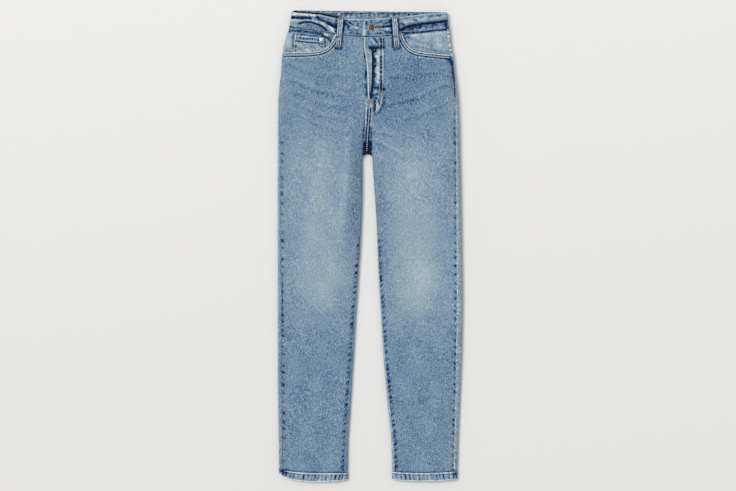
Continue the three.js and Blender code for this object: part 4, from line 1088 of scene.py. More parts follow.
def front_panel(leg, material):
    x, y = front_grid(leg)

    height = partial(panel_height, leg)
    z = height(x, y)
    look = facing_up(height, x, y)
    from_side, from_inner = grid_distance(x, y, z)
    turned = 0.55 * (1 - quarter(from_side, 1.5)) + 0.55 * (1 - quarter(from_inner, 1.5))
    from_mouth = mouth_distance(leg, x, y)
    raised = 0.55 * mouth_band(from_mouth) - 0.5 * (1 - quarter(from_mouth, 1.0))
    hem_drop = 0.5 * (1 - quarter(y - HEM_LINE[leg](x), 2.5))
    outer = xyz(x, y, z) + look * (raised - turned - hem_drop)[..., None]
    fade = wash_tone(leg, x, y)
    dark = dark_tone(leg, x, y) + mouth_tone(from_mouth, x + 1.2 * y)
    dark = dark + 0.10 * hill(from_side, 1.3)
    # painted shade along the join with the hem and, below the crotch, along the inner edge
    dark = dark + 0.3 * hill(y - HEM_LINE[leg](x), 2.2)
    dark = dark + np.where(y < CROTCH_Y, 0.14 * hill(from_inner, 1.5), 0)
    if leg == "left":
        on_lap = ease(FLY_END_Y, FLY_END_Y + 6, y)
        # painted highlight along the edge of the fly's lap, and painted shadow beside it
        dark = dark - 0.42 * on_lap * hill(from_inner, 1.6)
        dark = dark + 0.14 * on_lap * hill(from_inner - 4, 1.2)
    return shell(f"front_panel_{leg}", outer, look, DENIM, material, fade, dark)


def rolled_columns(leg, kind, turns, y):
    """The back's columns that go round one roll, by row and turn."""
    sign = SIGN[leg]

    height = partial(top_height, leg)
    out, inn = seam_angles(leg, y, -1)
    at_side = kind == "side"
    side, inner = SIDE_EDGE[leg](y), inner_x(leg, y)
    angle = roll_angle(turns[None], out if at_side else inn)
    over = section("side_roll", y) if at_side else inner_roll(leg, y)
    above = angle > 0
    distance = np.where(above, over, UNDER_ROLL) * (1 - np.cos(angle))
    x = side - sign * distance if at_side else inner + sign * distance
    edge = section("edge", y)
    z = np.where(above, height(x, y), back_height(leg, x, y))
    up = facing_up(height, x, y)
    near = np.abs(side - x) if at_side else gap_distance(leg, x, y)
    cosine = np.maximum(0, 1 - near / UNDER_ROLL)
    rise = np.maximum(edge - back_lift(y), 1)
    down = out_direction(leg, kind, x, y) * (cosine * rise)[..., None]
    down[..., 2] = -np.sqrt(1 - cosine**2) * UNDER_ROLL
    down /= np.linalg.norm(down, axis=-1, keepdims=True)
    return xyz(x, y, z), np.where((z > edge)[..., None], up, down)


def mouth_distance(leg, x, y):
    """Distance to the pocket's mouth, large away from it."""
    near = y > 395
    distance = np.full(np.broadcast(x, y).shape, 1e3)
    fine_x = np.linspace(MOUTH_POINTS[leg][0][0], MOUTH_POINTS[leg][-1][0], 60)
    line = list(zip(fine_x, MOUTH[leg](fine_x)))
    distance[near] = path_distance(x[near], y[near], line)
    return distance


# Columns of the back: round the side roll, across the table, round the inner roll
ROLL_TURNS = np.array([
    1, 0.97, 0.9, 0.8, 0.66, 0.5, 0.34, 0.17, 0, -0.14, -0.28, -0.42, -0.56, -0.7, -0.85, -1,
])
TABLE_SHARES = np.linspace(0, 1, 34)[1:-1]


def roll_angle(turn, seam):
    low = np.minimum(0, seam - 0.25)
    return np.where(turn < 0, turn * math.pi / 2, mix(low, seam, turn))


def back_grid(leg, rows_y):
    """Outer face of the back and its outward directions. rows_y gives y by row and column."""
    turns, sign = len(ROLL_TURNS), SIGN[leg]
    side = rolled_columns(leg, "side", ROLL_TURNS, rows_y[:, :turns])
    inner = rolled_columns(leg, "inner", ROLL_TURNS[::-1], rows_y[:, -turns:])
    y = rows_y[:, turns:-turns]
    from_x, to_x = SIDE_EDGE[leg](y) - sign * UNDER_ROLL, inner_x(leg, y) + sign * UNDER_ROLL
    x = mix(from_x, to_x, TABLE_SHARES[None])
    place = xyz(x, y, back_height(leg, x, y))
    look = np.broadcast_to([0.0, 0.0, -1.0], place.shape)
    return (
        np.concatenate([side[0], place, inner[0]], axis=1),
        np.concatenate([side[1], look, inner[1]], axis=1),
    )


def out_direction(leg, kind, x, y, step=0.01):
    """The level direction that looks out over the silhouette."""
    edge_x = SIDE_EDGE[leg] if kind == "side" else (lambda v: inner_x(leg, v))
    outward = SIGN[leg] if kind == "side" else -SIGN[leg]
    lean = (edge_x(y + step) - edge_x(y - step)) / (2 * step)
    away = xyz(float(outward), -outward * lean, 0.0)
    if kind != "side":
        dx = (x - CROTCH_X) / arch_half_width(leg) ** 2
        dy = (y - ARCH_SPRING_Y) / CROTCH_ARCH**2
        round_arch = xyz(-dx, -dy, 0.0)
        away = np.where((y > ARCH_SPRING_Y)[..., None], round_arch, away)
    return away / np.maximum(np.linalg.norm(away, axis=-1, keepdims=True), 1e-9)


BACK_COLUMN_COUNT = 2 * len(ROLL_TURNS) + len(TABLE_SHARES)


def yoke_line(leg):
    """The yoke's seam, by column of the back: straight from the side to the centre back."""
    y = np.full((1, BACK_COLUMN_COUNT), float(YOKE_SIDE_Y))
    x = back_grid(leg, y)[0][0, :, 0]
    side, centre = float(SIDE_EDGE[leg](YOKE_SIDE_Y)), float(CENTRE(YOKE_SIDE_Y))
    share = np.clip((x - side) / (centre - side), 0, 1)
    on_top = np.arange(BACK_COLUMN_COUNT) < np.sum(ROLL_TURNS > 0)
    return np.where(on_top, YOKE_SIDE_Y, mix(YOKE_SIDE_Y, YOKE_CENTRE_Y, share))


def back_tones(leg, place, look):
    """Wash of the back: as the front, with its painted shade and highlights, where it wraps over, and
    a plain soft fade underneath.
    """
    x, y = place[..., 0], place[..., 1]
    on_top = ease(-0.2, 0.5, look[..., 2])
    fade = mix(0.03 * waves(x, y, 7, 110, 9), wash_tone(leg, x, y), on_top)
    seat = [(SIGN[leg] * 90, 330), (SIGN[leg] * 95, 250)]
    fade = fade + 0.10 * bump(x, y, seat, 60) * (1 - on_top)
    dark = dark_tone(leg, x, y) * on_top
    if leg == "left":
        # painted light: the left leg's wrapped strip, which slopes away from the key light, is painted
        # paler
        dark = dark - 0.13 * on_top
        rungs = beat(y, 9.5, 0.9, 13)
        beside_pocket = ease(424, 430, y) * on_top
        dark = dark + beside_pocket * (0.62 * rungs**3 - 0.36)
    return fade, dark


def back_shell(name, leg, rows_y, material):
    place, look = back_grid(leg, rows_y)
    first, last = grid_distance(place[..., 0], place[..., 1], place[..., 2])
    turned = 0.55 * (1 - quarter(first, 1.5)) + 0.55 * (1 - quarter(last, 1.5))
    on_top = ease(-0.3, 0.3, look[..., 2])
    outer = place - look * (turned * on_top)[..., None]
    fade, dark = back_tones(leg, place, look)
    return shell(name, outer, look, DENIM, material, fade, dark)


def back_panel(leg, material):
    top = yoke_line(leg) - SEAM_GAP / 2
    columns = np.arange(BACK_COLUMN_COUNT)
    start = UPPER_ROWS_Y
    rows = [mix(top, start, t) for t in spread(0, 1, 0.06)[:-1]]
    rows += [np.full(columns.shape, y) for y in front_rows_y()]
    x = back_grid(leg, np.full((1, BACK_COLUMN_COUNT), HEM_PLAN_Y))[0][0, :, 0]
    foot = HEM_LINE[leg](x) + HEM_GAP
    rows += [mix(HEM_ROWS_Y, foot, t) for t in (0.3, 0.6, 0.85, 1.0)]
    return back_shell(f"back_panel_{leg}", leg, np.array(rows), material)


def yoke_panel(leg, material):
    foot = yoke_line(leg) + SEAM_GAP / 2
    x = back_grid(leg, np.full((1, BACK_COLUMN_COUNT), 490.0))[0][0, :, 0]
    top = WAIST_BOTTOM_BACK(x) - WAIST_GAP
    rows = [mix(top, foot, t) for t in spread(0, 1, 0.07)]
    return back_shell(f"yoke_panel_{leg}", leg, np.array(rows), material)


def hem_ring(leg, material):
    """The turned-up end of a leg, with the rope-like ridges of a washed hem."""
    shares = edged_places(0, 152, 1.9) / 152
    limits = front_limits(leg, HEM_PLAN_Y)
    front_x = mix(float(limits[0]), float(limits[1]), shares)[None]
    back_x = back_grid(leg, np.full((1, BACK_COLUMN_COUNT), HEM_PLAN_Y))[0][:, :, 0]
    t = np.array([
        0, 0.03, 0.08, 0.14, 0.2, 0.28, 0.36, 0.44, 0.52, 0.6, 0.68, 0.76, 0.83, 0.89, 0.94, 0.97, 1,
    ])[:, None]

    height = partial(top_height, leg)
    y = mix(HEM_LINE[leg](front_x), HEM_FOOT[leg](front_x), t)
    s, i = front_limits(leg, y)
    x = mix(s, i, shares[None])
    front_place, front_look = xyz(x, y, height(x, y)), facing_up(height, x, y)
    back_y = mix(HEM_LINE[leg](back_x), HEM_FOOT[leg](back_x), t)
    back_place, back_look = back_grid(leg, back_y)
    pick = slice(BACK_COLUMN_COUNT - 2, 0, -1)
    place = np.concatenate([front_place, back_place[:, pick]], axis=1)
    look = np.concatenate([front_look, back_look[:, pick]], axis=1)
    x = place[..., 0]
    at = np.arange(-215, 215, 0.5)
    rung = dent_row(61 if leg == "right" else 67, -215, 215, 8.8, 1.3)[1]
    lean = -4.0 * SIGN[leg]
    groove = np.interp(x + lean * t, at, rung)
    body = ease(0.1, 0.24, t) * ease(0.95, 0.8, t)
    turned = 0.8 * (1 - quarter(t * 19, 1.6)) + 0.5 * (1 - quarter((1 - t) * 19, 1.2))
    push = HEM_PROUD + (0.35 - 0.75 * groove) * body - turned
    outer = place + look * push[..., None]
    outer[..., 2] = np.maximum(outer[..., 2], 0)
    fade = wash_tone(leg, x, place[..., 1]) + 0.03
    edges = 0.36 * hill(t - 0.12, 0.07) + 0.42 * ease(0.84, 0.97, t)
    # painted shade along the hem's top, where it joins the leg
    dark = (0.72 * groove - 0.065) * body - edges + 0.34 * ease(0.06, 0, t)
    dark = dark + 0.24 * hill(t - 0.26, 0.06)
    corner_x, corner_reach, corner = (-196, 9, 0.62) if leg == "right" else (191, 6, 0.3)
    dark = dark + corner * hill(x - corner_x, corner_reach) * ease(0.7, 0.3, t)
    dark = np.where(look[..., 2] > -0.2, dark, 0)
    return shell(f"hem_{leg}_cloth", outer, look, HEM_WALL, material, fade, dark, ring=True)


# Waistband

def band_edge(leg, down):
    return mix(float(SIDE_EDGE[leg](531)), float(SIDE_EDGE[leg](492)), down)


def band_height(x, y):
    """Outer face of the waistband in front."""
    fine = crease_height(FINE_WAIST_FOLDS, x, y) + 0.18 * waves(x, y, 19, 40, 9)
    return WAISTBAND_TOP + crease_height(WAIST_FOLDS, x, y) + fine


def band_front(x, down, lapped):
    y = mix(WAIST_TOP_FRONT(x), WAIST_SEAM(x), down)
    drop = UNDERLAP_DROP * ease(-33, OVERLAP_END_X - 4, x) if lapped else 0.0
    z = band_height(x, y) - drop
    look = facing_up(band_height, x, y)
    return xyz(x, y, z), look


def waistband(material):
    steps = np.array([0, 0.012, 0.035, 0.07, 0.11])
    down = np.concatenate([steps, np.linspace(0.145, 0.855, 19), 1 - steps[::-1]])
    edge_height = float(section("edge", 492))
    places, looks, darks = [], [], []

    def add(place, look, shade):
        places.append(place)
        looks.append(look)
        darks.append(np.broadcast_to(shade, down.shape))

    def front_column(x, lapped):
        xs = np.full(down.shape, float(x))
        place, look = band_front(xs, down, lapped)
        add(place, look, marks(WAIST_SHADE_AND_HIGHLIGHTS, xs, place[:, 1]))

    def roll_column(leg, turn):
        sign = SIGN[leg]
        angle = turn * math.pi / 2
        x = band_edge(leg, down) - sign * WAIST_ROLL * (1 - math.cos(angle))
        front, _ = band_front(x, down, False)
        back_y = mix(WAIST_TOP_BACK(x), WAIST_BOTTOM_BACK(x), down)
        height = front[:, 2] - edge_height if turn > 0 else edge_height - BACK_LIFT
        height = np.broadcast_to(height, down.shape)
        y = mix(back_y, front[:, 1], (1 + math.sin(angle)) / 2)
        z = edge_height + height * math.sin(angle)
        look = xyz(sign * math.cos(angle) * height, 0.0, math.sin(angle) * WAIST_ROLL)
        look /= np.linalg.norm(look, axis=1, keepdims=True)
        shade = marks(WAIST_SHADE_AND_HIGHLIGHTS, x, y) * ease(-0.2, 0.5, turn)
        add(xyz(x, y, z), look, shade)

    def back_column(x):
        xs = np.full(down.shape, float(x))
        y = mix(WAIST_TOP_BACK(xs), WAIST_BOTTOM_BACK(xs), down)
        look = np.tile([0.0, 0.0, -1.0], (len(down), 1))
        add(xyz(xs, y, BACK_LIFT), look, 0.0)

    turns = np.linspace(0.86, -0.86, 17)
    for x in np.concatenate([UNDERLAP_END_X - EDGE_STEPS[:8], spread(6, -165, 2.1)]):
        front_column(x, True)
    for turn in turns:
        roll_column("right", turn)
    for x in spread(-164, 163, 4):
        back_column(x)
    for turn in turns[::-1]:
        roll_column("left", turn)
    for x in np.concatenate([spread(164, -4, 2.1), OVERLAP_END_X + EDGE_STEPS[:8][::-1]]):
        front_column(x, False)
    outer, look = np.stack(places, 1), np.stack(looks, 1)
    dark = np.stack(darks, 1)
    x, y = outer[..., 0], outer[..., 1]
    on_top = look[..., 2] > 0
    ends = np.minimum(down, 1 - down)[:, None] * BAND_DEPTH
    outer = outer - look * (0.7 * (1 - quarter(ends, 1.6)))[..., None]
    ridge = 0.3 * hill(ends - 2.4, 1.6)
    outer = outer + look * ridge[..., None] * on_top[..., None]
    from_top, from_seam = down[:, None] * BAND_DEPTH, (1 - down[:, None]) * BAND_DEPTH
    # painted highlight along the top edge and painted shade in a line below it
    dark = dark - 0.24 * hill(from_top, 1.3)
    dark = dark + 0.14 * hill(from_top - 4.6, 1.2)
    dash = beat(x, 7.4, 0.8, 8)
    row = hill(from_seam - 2.8, 1.4)
    # painted shade along the waist seam
    dark = dark + row * (0.75 * dash - 0.1) + 0.5 * hill(from_seam, 1.4)
    # painted highlight along the end of the overlap
    end_highlight = hill(x - OVERLAP_END_X - 0.6, 1.4) * (look[..., 2] > 0.5)
    end_highlight[:, : outer.shape[1] // 2] = 0
    dark = dark - 0.38 * end_highlight
    fade = 0.05 * waves(x, y, 29, 12, 12) + 0.05 * waves(x, y, 30, 30, 9)
    # painted shadow of the front band on the back's inner face
    inner_dark = marks(INNER_BAND_SHADOW, x, y) - 0.03 + 0.12 * waves(x, y, 71, 11, 9)
    # painted shade in dashes below the back's top edge, where its stitching is
    stitch_shadow_dashes = beat(x, 10.8, 0.9, 17) ** 3
    inner_dark = inner_dark + 0.5 * stitch_shadow_dashes * ease(3, 5, from_top) * ease(14, 9, from_top)
    piece = shell("waistband_cloth", outer, look, WAISTBAND_WALL, material,
                  fade, dark, inner_dark)
    cut_buttonhole(piece)
    return piece


def keyhole_outline(eye, length, width):
    slit = math.asin(width / 2 / eye)
    turns = np.linspace(slit, math.tau - slit, 22)
    ring = [(eye * math.cos(a), eye * math.sin(a)) for a in turns]
    return ring + [(length, -width / 2), (length, width / 2)]


def cut_buttonhole(piece):
    """Cuts the keyhole through the upper layer of the waistband only."""
    outline = keyhole_outline(**BUTTONHOLE)
    low, high = WAISTBAND_TOP - UNDERLAP_DROP + 0.35, WAISTBAND_TOP + 4
    count = len(outline)
    points = [(BUTTON["x"] + x, BUTTON["y"] + y, z) for z in (low, high) for x, y in outline]
    faces = [tuple(range(count))[::-1], tuple(range(count, 2 * count))]
    faces += [(k, (k + 1) % count, (k + 1) % count + count, k + count) for k in range(count)]
    mesh = bpy.data.meshes.new("keyhole_cutter")
    mesh.from_pydata([Vector(p) / 1000 for p in points], [], faces)
    cutter = bpy.data.objects.new("keyhole_cutter", mesh)
    bpy.context.scene.collection.objects.link(cutter)
    cut = piece.modifiers.new("keyhole", "BOOLEAN")
    cut.operation = "DIFFERENCE"
    cut.object = cutter
    cut.solver = "EXACT"
    bpy.context.view_layer.objects.active = piece
    with bpy.context.temp_override(object=piece, active_object=piece):
        bpy.ops.object.modifier_apply(modifier=cut.name)
    bpy.data.objects.remove(cutter)
    bpy.data.meshes.remove(mesh)


# Pockets

def mouth_y(leg, x):
    """The pocket's mouth, run on past its end."""
    end_x, end_y = MOUTH_POINTS[leg][-1]
    past = SIGN[leg] * (end_x - x)
    return np.where(past > 0, end_y + 2 * past, MOUTH[leg](x))


def facing_depth(leg, x, y):
    steepness = mouth_y(leg, x + 0.5) - mouth_y(leg, x - 0.5)
    above = (y - mouth_y(leg, x)) / np.hypot(1, steepness)
    from_seam = np.abs(front_limits(leg, y)[0] - x)
    return MOUTH_DEPTH[leg] * (1 - ease(*FACING_RISE, above)) * ease(0.5, 10, from_seam)


FACING_FOLDS = {
    "right": [
        ([(-176, 452), (-140, 450), (-112, 452)], -0.5, 5),
        ([(-106, 472.5), (-96, 467), (-88, 459)], -0.6, 2.4),
    ],
    "left": [
        ([(110, 452), (150, 446), (172, 447)], -0.6, 6),
        ([(78, 474), (112, 458)], -0.5, 5),
    ],
}
# Painted shade on the pocket facings under the waistband and in the folds by the mouth, and painted
# highlights beside them
FACING_SHADE_AND_HIGHLIGHTS = {
    "right": [
        ([(-180, 484.5), (-150, 482), (-108, 477)], 3.4, 0.6),
        ([(-106, 473), (-96, 468), (-88, 459)], 2.2, 0.85),
        ([(-103, 477), (-94, 472)], 1.6, -0.3),
        ([(-170, 476), (-105, 470)], 2.0, 0.5),
        ([(-173, 474), (-173, 445)], 1.8, 0.45),
        ([(-101, 467), (-101, 448)], 1.7, 0.4),
        ([(-99, 464), (-92, 456)], 1.8, -0.2),
        ([(-92, 470), (-84, 462)], 2.4, 0.3),
    ],
    "left": [
        ([(76, 472), (80, 459), (86, 446)], 2.0, 0.5),
        ([(80, 478), (120, 481), (172, 487)], 2.2, 0.6),
        ([(84, 472), (120, 476), (168, 481)], 2.2, -0.12),
        ([(80, 474), (90, 466)], 4.0, 0.3),
        ([(92, 468), (112, 458), (140, 452)], 3.4, 0.12),
        ([(100, 448), (150, 440), (176, 437)], 3.4, 0.14),
    ],
}


def facing_height(leg, x, y):
    small = crease_height(FACING_FOLDS[leg], x, y) + 0.12 * waves(x, y, 31, 30, 8)
    small = small * ease(0.5, 6, np.abs(front_limits(leg, y)[0] - x))
    return front_height(leg, x, y) - facing_depth(leg, x, y) + small


def pocket_facing(leg, material):
    sign = SIGN[leg]
    mouth = MOUTH_POINTS[leg]
    start_x = mouth[1][0]
    shares = np.concatenate([np.linspace(0, 1, 9)[:-1], 1 + spread(0, 1, 0.018)])
    side_low = float(front_limits(leg, mouth[0][1])[0])

    def column_x(share, y):
        side = front_limits(leg, y)[0]
        return np.where(
            share < 1, mix(side, start_x, share), mix(start_x, FACING_END_X[leg], share - 1)
        )

    low_x = column_x(shares, np.full(shares.shape, mouth[0][1]))
    line = mouth_y(leg, low_x)
    under = np.minimum(mouth_y(leg, low_x + sign * FACING_TUCK), line) - FACING_TUCK / 2
    low = mix(line + SEAM_GAP, under, ease(11, 20, np.abs(side_low - low_x)))
    top = WAIST_SEAM(column_x(shares, np.full(shares.shape, 489.0))) - WAIST_GAP
    steps = np.concatenate([[-4, -1], np.arange(1, 17, 1.5)])
    rows = [low]
    for k, step in enumerate(steps):
        room = top - 0.25 * (len(steps) + 1 - k)
        rows.append(np.minimum(np.maximum(line + step, rows[-1] + 0.2), room))
    start = rows[-1]
    rows += [mix(start, top, t) for t in np.linspace(0, 1, 20)[1:]]
    y = np.array(rows)
    x = column_x(shares[None], y)

    height = partial(facing_height, leg)
    look = facing_up(height, x, y)
    outer = xyz(x, y, height(x, y))
    above = y - line[None]
    fade = 0.05 * waves(x, y, 33, 26, 9) + 0.05 * ease(2, 20, above)
    # painted shade where the facing goes under the mouth's edge and under the waistband
    dark = marks(FACING_SHADE_AND_HIGHLIGHTS[leg], x, y) + 0.3 * ease(4, -2, above)
    dark = dark + 0.10 * ease(8, 1, top[None] - y)
    return shell(f"pocket_facing_{leg}_cloth", outer, look, DENIM, material, fade, dark)


def coin_top_y(x):
    share = (x - COIN["left"]) / (COIN["right"] - COIN["left"])
    return mix(COIN["top_left"], COIN["top_right"], share)


def coin_height(x, y):
    return (
        front_height("right", x, y)
        - facing_depth("right", x, y)
        + crease_height(FACING_FOLDS["right"], x, y)
        + LAYER_GAP
        + COIN["wall"]
    )


def coin_pocket(material):
    x_row = edged_places(COIN["left"], COIN["right"], 1.6, EDGE_STEPS[:6], EDGE_STEPS[:6])
    foot = mouth_y("right", x_row) - 5
    top = coin_top_y(x_row)
    shares = np.concatenate([spread(0, 0.97, 0.028), [0.985, 1.0]])
    y = np.array([mix(foot, top, t) for t in shares])
    x = np.broadcast_to(x_row, y.shape)
    below = top[None] - y
    hem = 0.5 * ease(11.5, 10.2, below) - 0.4 * (1 - quarter(below, 0.9))
    side = np.minimum(x - COIN["left"], COIN["right"] - x)
    turned = 0.35 * (1 - quarter(side, 0.9))
    swell = 0.25 * waves(x, y, 35, 22, 7)
    look = facing_up(coin_height, x, y)
    z = coin_height(x, y) + hem - turned + swell
    fade = 0.09 * waves(x, y, 36, 12, 9)
    dash = beat(x, 6.8, 1, 7)
    dash_down = beat(y, 11, 1, 7)
    # Painted shade under the pocket's hem, painted highlights along its top edge, its hem's fold and
    # its sides, and dashes of darker drawn-in cloth beside the stitching
    dark = (
        -0.24 * hill(below, 1.4)
        + 0.9 * dash * hill(below - 4.4, 1.3)
        + 0.65 * dash * hill(below - 7.6, 1.2)
        - 0.2 * hill(below - 10.2, 1.1)
        + 0.9 * hill(below - 12.6, 1.4)
        - 0.16 * hill(side, 1.2)
        + 0.75 * dash_down * hill(side - 3.6, 1.5) * ease(11, 14, below)
    )
    return shell("coin_pocket_cloth", xyz(x, y, z), look, COIN["wall"], material, fade, dark)


def fly_underlap(material):
    y_row = spread(467, 331, 4)
    t = edged_places(0, 1, 0.06, EDGE_STEPS[:5] / 22, EDGE_STEPS[:5] / 22)
    y = np.repeat(y_row[:, None], len(t), 1)
    x = mix(CENTRE(y) + SEAM_GAP, 20.0, t[None])

    def height(u, v):
        return front_height("left", u, v) - 4.2 * ease(0, 9, u - CENTRE(v) - SEAM_GAP)

    look = facing_up(height, x, y)
    outer = xyz(x, y, height(x, y))
    return shell("fly_underlap_cloth", outer, look, DENIM, material)


# Belt loops

def loop_centre(leg, t):
    _, top, foot = FRONT_LOOPS[leg]
    return mix(top[0], foot[0], t), mix(top[1], foot[1], t)


def loop_surface(leg, t, across):
    """Top of a front loop at a share of its length and a distance across it."""
    x, y = loop_centre(leg, t)
    on_panel = ease(0.58, 0.76, t)
    band = WAISTBAND_TOP + 0 * x
    panel = panel_height(leg, x, y)
    z = mix(band, panel, on_panel) + LAYER_GAP + LOOP_WALL + LOOP_PROFILE(t)
    crown = 0.35 * (1 - (2 * across / LOOP_WIDTH) ** 2) * ease(0.02, 0.2, t) * ease(0.9, 0.7, t)
    return xyz(x + across, y, z + crown)


def front_loop(leg, material):
    t_row = np.concatenate([[0, 0.01, 0.03], spread(0.055, 0.945, 0.02), [0.97, 0.99, 1]])
    half = LOOP_WIDTH / 2
    across = np.array([
        -half, -6.1, -5.5, -4.7, -3.9, -3.0, -2.0, -1.0, 0, 1.0, 2.0, 3.0, 3.9, 4.7, 5.5, 6.1, half,
    ])
    t, a = np.meshgrid(t_row, across, indexing="ij")
    pinch = 1 - 0.05 * np.sin(math.pi * t)
    outer = loop_surface(leg, t, a * pinch)
    from_edge = half - np.abs(a)
    outer[..., 2] -= 0.5 * (1 - quarter(from_edge, 1.1))
    outer[..., 2] += 0.25 * hill(from_edge - 1.6, 1.1)
    outer[..., 2] += 0.12 * waves(outer[..., 0], outer[..., 1], 43, 9, 7)
    look = np.tile([0.0, 0.0, 1.0], (*t.shape, 1))
    # Painted light on the loop's raised middle, painted shade along its edges, in its fold and at its
    # foot, and painted highlights beside the edges and down its middle
    fade = 0.05 * hill(t - 0.4, 0.25) + 0.10 * waves(t * 60, a, 44, 9, 9)
    dark = (
        0.6 * hill(from_edge, 0.8)
        - 0.24 * hill(from_edge - 2.3, 1.0)
        + 0.5 * hill(from_edge - 4.1, 0.8)
        - 0.16 * hill(a, 1.2)
        + 0.30 * ease(0.88, 1, t)
        + 0.30 * hill(t - 0.66, 0.035)
        + 0.22 * hill(t, 0.02)
    )
    return shell(f"{FRONT_LOOPS[leg][0]}_cloth", outer, look, LOOP_WALL, material, fade, dark)


def back_loop(name, x, top, foot, material):
    """A loop under the seat, flat on the table."""
    y_row = np.concatenate([[top, top - 0.4, top - 1], spread(top - 2, foot + 2, 4),
                            [foot + 1, foot + 0.4, foot]])
    half = LOOP_WIDTH / 2
    across = np.array([-half, -6.1, -5.5, -4.4, -2.6, 0, 2.6, 4.4, 5.5, 6.1, half])
    y, a = np.meshgrid(y_row, across, indexing="ij")
    from_edge = half - np.abs(a)
    z = 0.3 + 0.35 * (1 - quarter(from_edge, 1.1))
    look = np.tile([0.0, 0.0, -1.0], (*y.shape, 1))
    fade = 0.12 * hill(from_edge, 1.1)
    return shell(f"{name}_cloth", xyz(x + a, y, z), look, 1.1, material, fade)


POCKET = {"width": 134, "foot": 112, "height": 146, "point": 22, "x": 92, "top": 412, "tilt": 0.035}


def pocket_plan(leg, u, v):
    """A place on a back pocket: u from -1 to 1 across, v from 0 at its top to 1 at its point."""
    sign = SIGN[leg]
    side_foot = POCKET["point"] - POCKET["height"]
    half = mix(POCKET["width"], POCKET["foot"], v) / 2
    x = u * half
    blunt = np.sqrt(u * u + 0.0016) - 0.04
    foot = mix(-POCKET["height"], side_foot, np.clip(blunt, 0, 1))
    y = v * foot
    turn = sign * POCKET["tilt"]
    rx = x * math.cos(turn) - y * math.sin(turn)
    ry = x * math.sin(turn) + y * math.cos(turn)
    centre = sign * POCKET["x"] + float(CENTRE(POCKET["top"]))
    return rx + centre, ry + POCKET["top"]


def back_pocket(leg, material):
    near = np.array([0, 0.006, 0.014, 0.025, 0.045])
    u_row = np.concatenate([-1 + 2 * near, np.linspace(-0.86, 0.86, 31), 1 - 2 * near[::-1]])
    v_row = np.concatenate([near, np.linspace(0.08, 0.92, 26), 1 - near[::-1]])
    v, u = np.meshgrid(v_row, u_row, indexing="ij")
    x, y = pocket_plan(leg, u, v)
    side = (1 - np.abs(u)) * 62
    ends = np.minimum(v, 1 - v) * 140
    rim = np.minimum(side, ends)
    z = 0.3 + 0.4 * (1 - quarter(rim, 1.1))
    look = np.tile([0.0, 0.0, -1.0], (*u.shape, 1))
    fade = 0.06 + 0.14 * hill(rim, 1.4) + 0.03 * waves(x, y, 51, 50, 9)
    dark = 0.10 * hill(rim - 4.6, 1.6)
    return shell(f"back_pocket_{leg}_cloth", xyz(x, y, z), look, 1.1, material, fade, dark)


# Fittings

def turned_piece(name, profile, segments, centre, material, ribs=None):
    """A turned fitting on an upright axis, from (radius, height) rows."""
    turns = np.linspace(0, math.tau, segments, endpoint=False)
    radius = np.array([r for r, _ in profile])[:, None]
    height = np.array([h for _, h in profile])[:, None] + 0 * turns[None]
    if ribs:
        low, high, count, depth = ribs
        inside = (radius > low) & (radius < high)
        height = height + depth * np.cos(count * turns[None]) * inside
    x = centre[0] + radius * np.cos(turns[None])
    y = centre[1] + radius * np.sin(turns[None])
    points = xyz(x, y, height).reshape(-1, 3)
    index = np.arange(len(profile) * segments).reshape(len(profile), segments)
    nxt = np.roll(index, -1, axis=1)
    quads = np.stack([index[:-1], nxt[:-1], nxt[1:], index[1:]], -1).reshape(-1, 4)
    return make_piece(name, points, quads, material)


def button(rim_material, centre_material):
    foot = WAISTBAND_TOP - UNDERLAP_DROP + SEAM_GAP
    head = WAISTBAND_TOP + SEAM_GAP
    centre = (BUTTON["x"], BUTTON["y"])
    rim_profile = [
        (0.02, foot), (2.2, foot), (2.2, foot + 0.2), (2.2, head), (5.0, head), (7.9, head),
        (8.3, head + 0.15), (8.5, head + 0.5), (8.5, head + 1.0), (8.35, head + 1.4),
        (8.0, head + 1.7), (7.5, head + 1.82), (6.9, head + 1.8), (6.4, head + 1.6),
        (6.1, head + 1.25), (6.0, head + 0.9), (3.0, head + 0.8), (0.02, head + 0.8),
    ]
    rim = turned_piece("button_rim", rim_profile, 48, centre, rim_material)
    disc_profile = [
        (0.02, head + 0.85), (5.9, head + 0.95), (5.95, head + 1.05), (5.7, head + 1.25),
        (5.2, head + 1.3), (4.6, head + 1.22), (4.1, head + 1.3), (3.4, head + 1.55),
        (2.4, head + 1.9), (1.2, head + 2.1), (0.02, head + 2.15),
    ]
    disc = turned_piece(
        "button_disc", disc_profile, 48, centre, centre_material, ribs=(4.0, 5.6, 24, 0.06)
    )
    return rim, disc


def coin_rivet(material):
    x, inset = RIVET_PLACE
    y = coin_top_y(x) - inset
    base = float(coin_height(np.array([x]), np.array([y]))[0]) + 0.45
    profile = [
        (0.02, base), (3.4, base), (3.75, base + 0.15), (3.8, base + 0.4), (3.6, base + 0.75),
        (3.1, base + 1.0), (2.4, base + 1.05), (1.9, base + 0.95), (1.5, base + 1.1),
        (1.1, base + 1.5), (0.6, base + 1.7), (0.02, base + 1.75),
    ]
    return turned_piece("coin_pocket_rivet_cap", profile, 36, (x, y), material)


# Sewing thread

def capsule_template(sides=5):
    """One stitch, 1 long and 1 wide: the ends dip into the cloth."""
    rings = [(-0.5, 0.16, -0.5), (-0.32, 0.46, 0.05), (0, 0.5, 0.22), (0.32, 0.46, 0.05),
             (0.5, 0.16, -0.5)]
    turns = np.linspace(0, math.tau, sides, endpoint=False) + math.pi / 2
    points = [
        (along, radius * math.cos(a), radius * math.sin(a) + rise)
        for along, radius, rise in rings for a in turns
    ]
    quads = []
    for k in range(len(rings) - 1):
        for j in range(sides):
            a, b = k * sides + j, k * sides + (j + 1) % sides
            quads.append((a, b, b + sides, a + sides))
    return np.array(points), np.array(quads)


STITCH_POINTS, STITCH_QUADS = capsule_template()


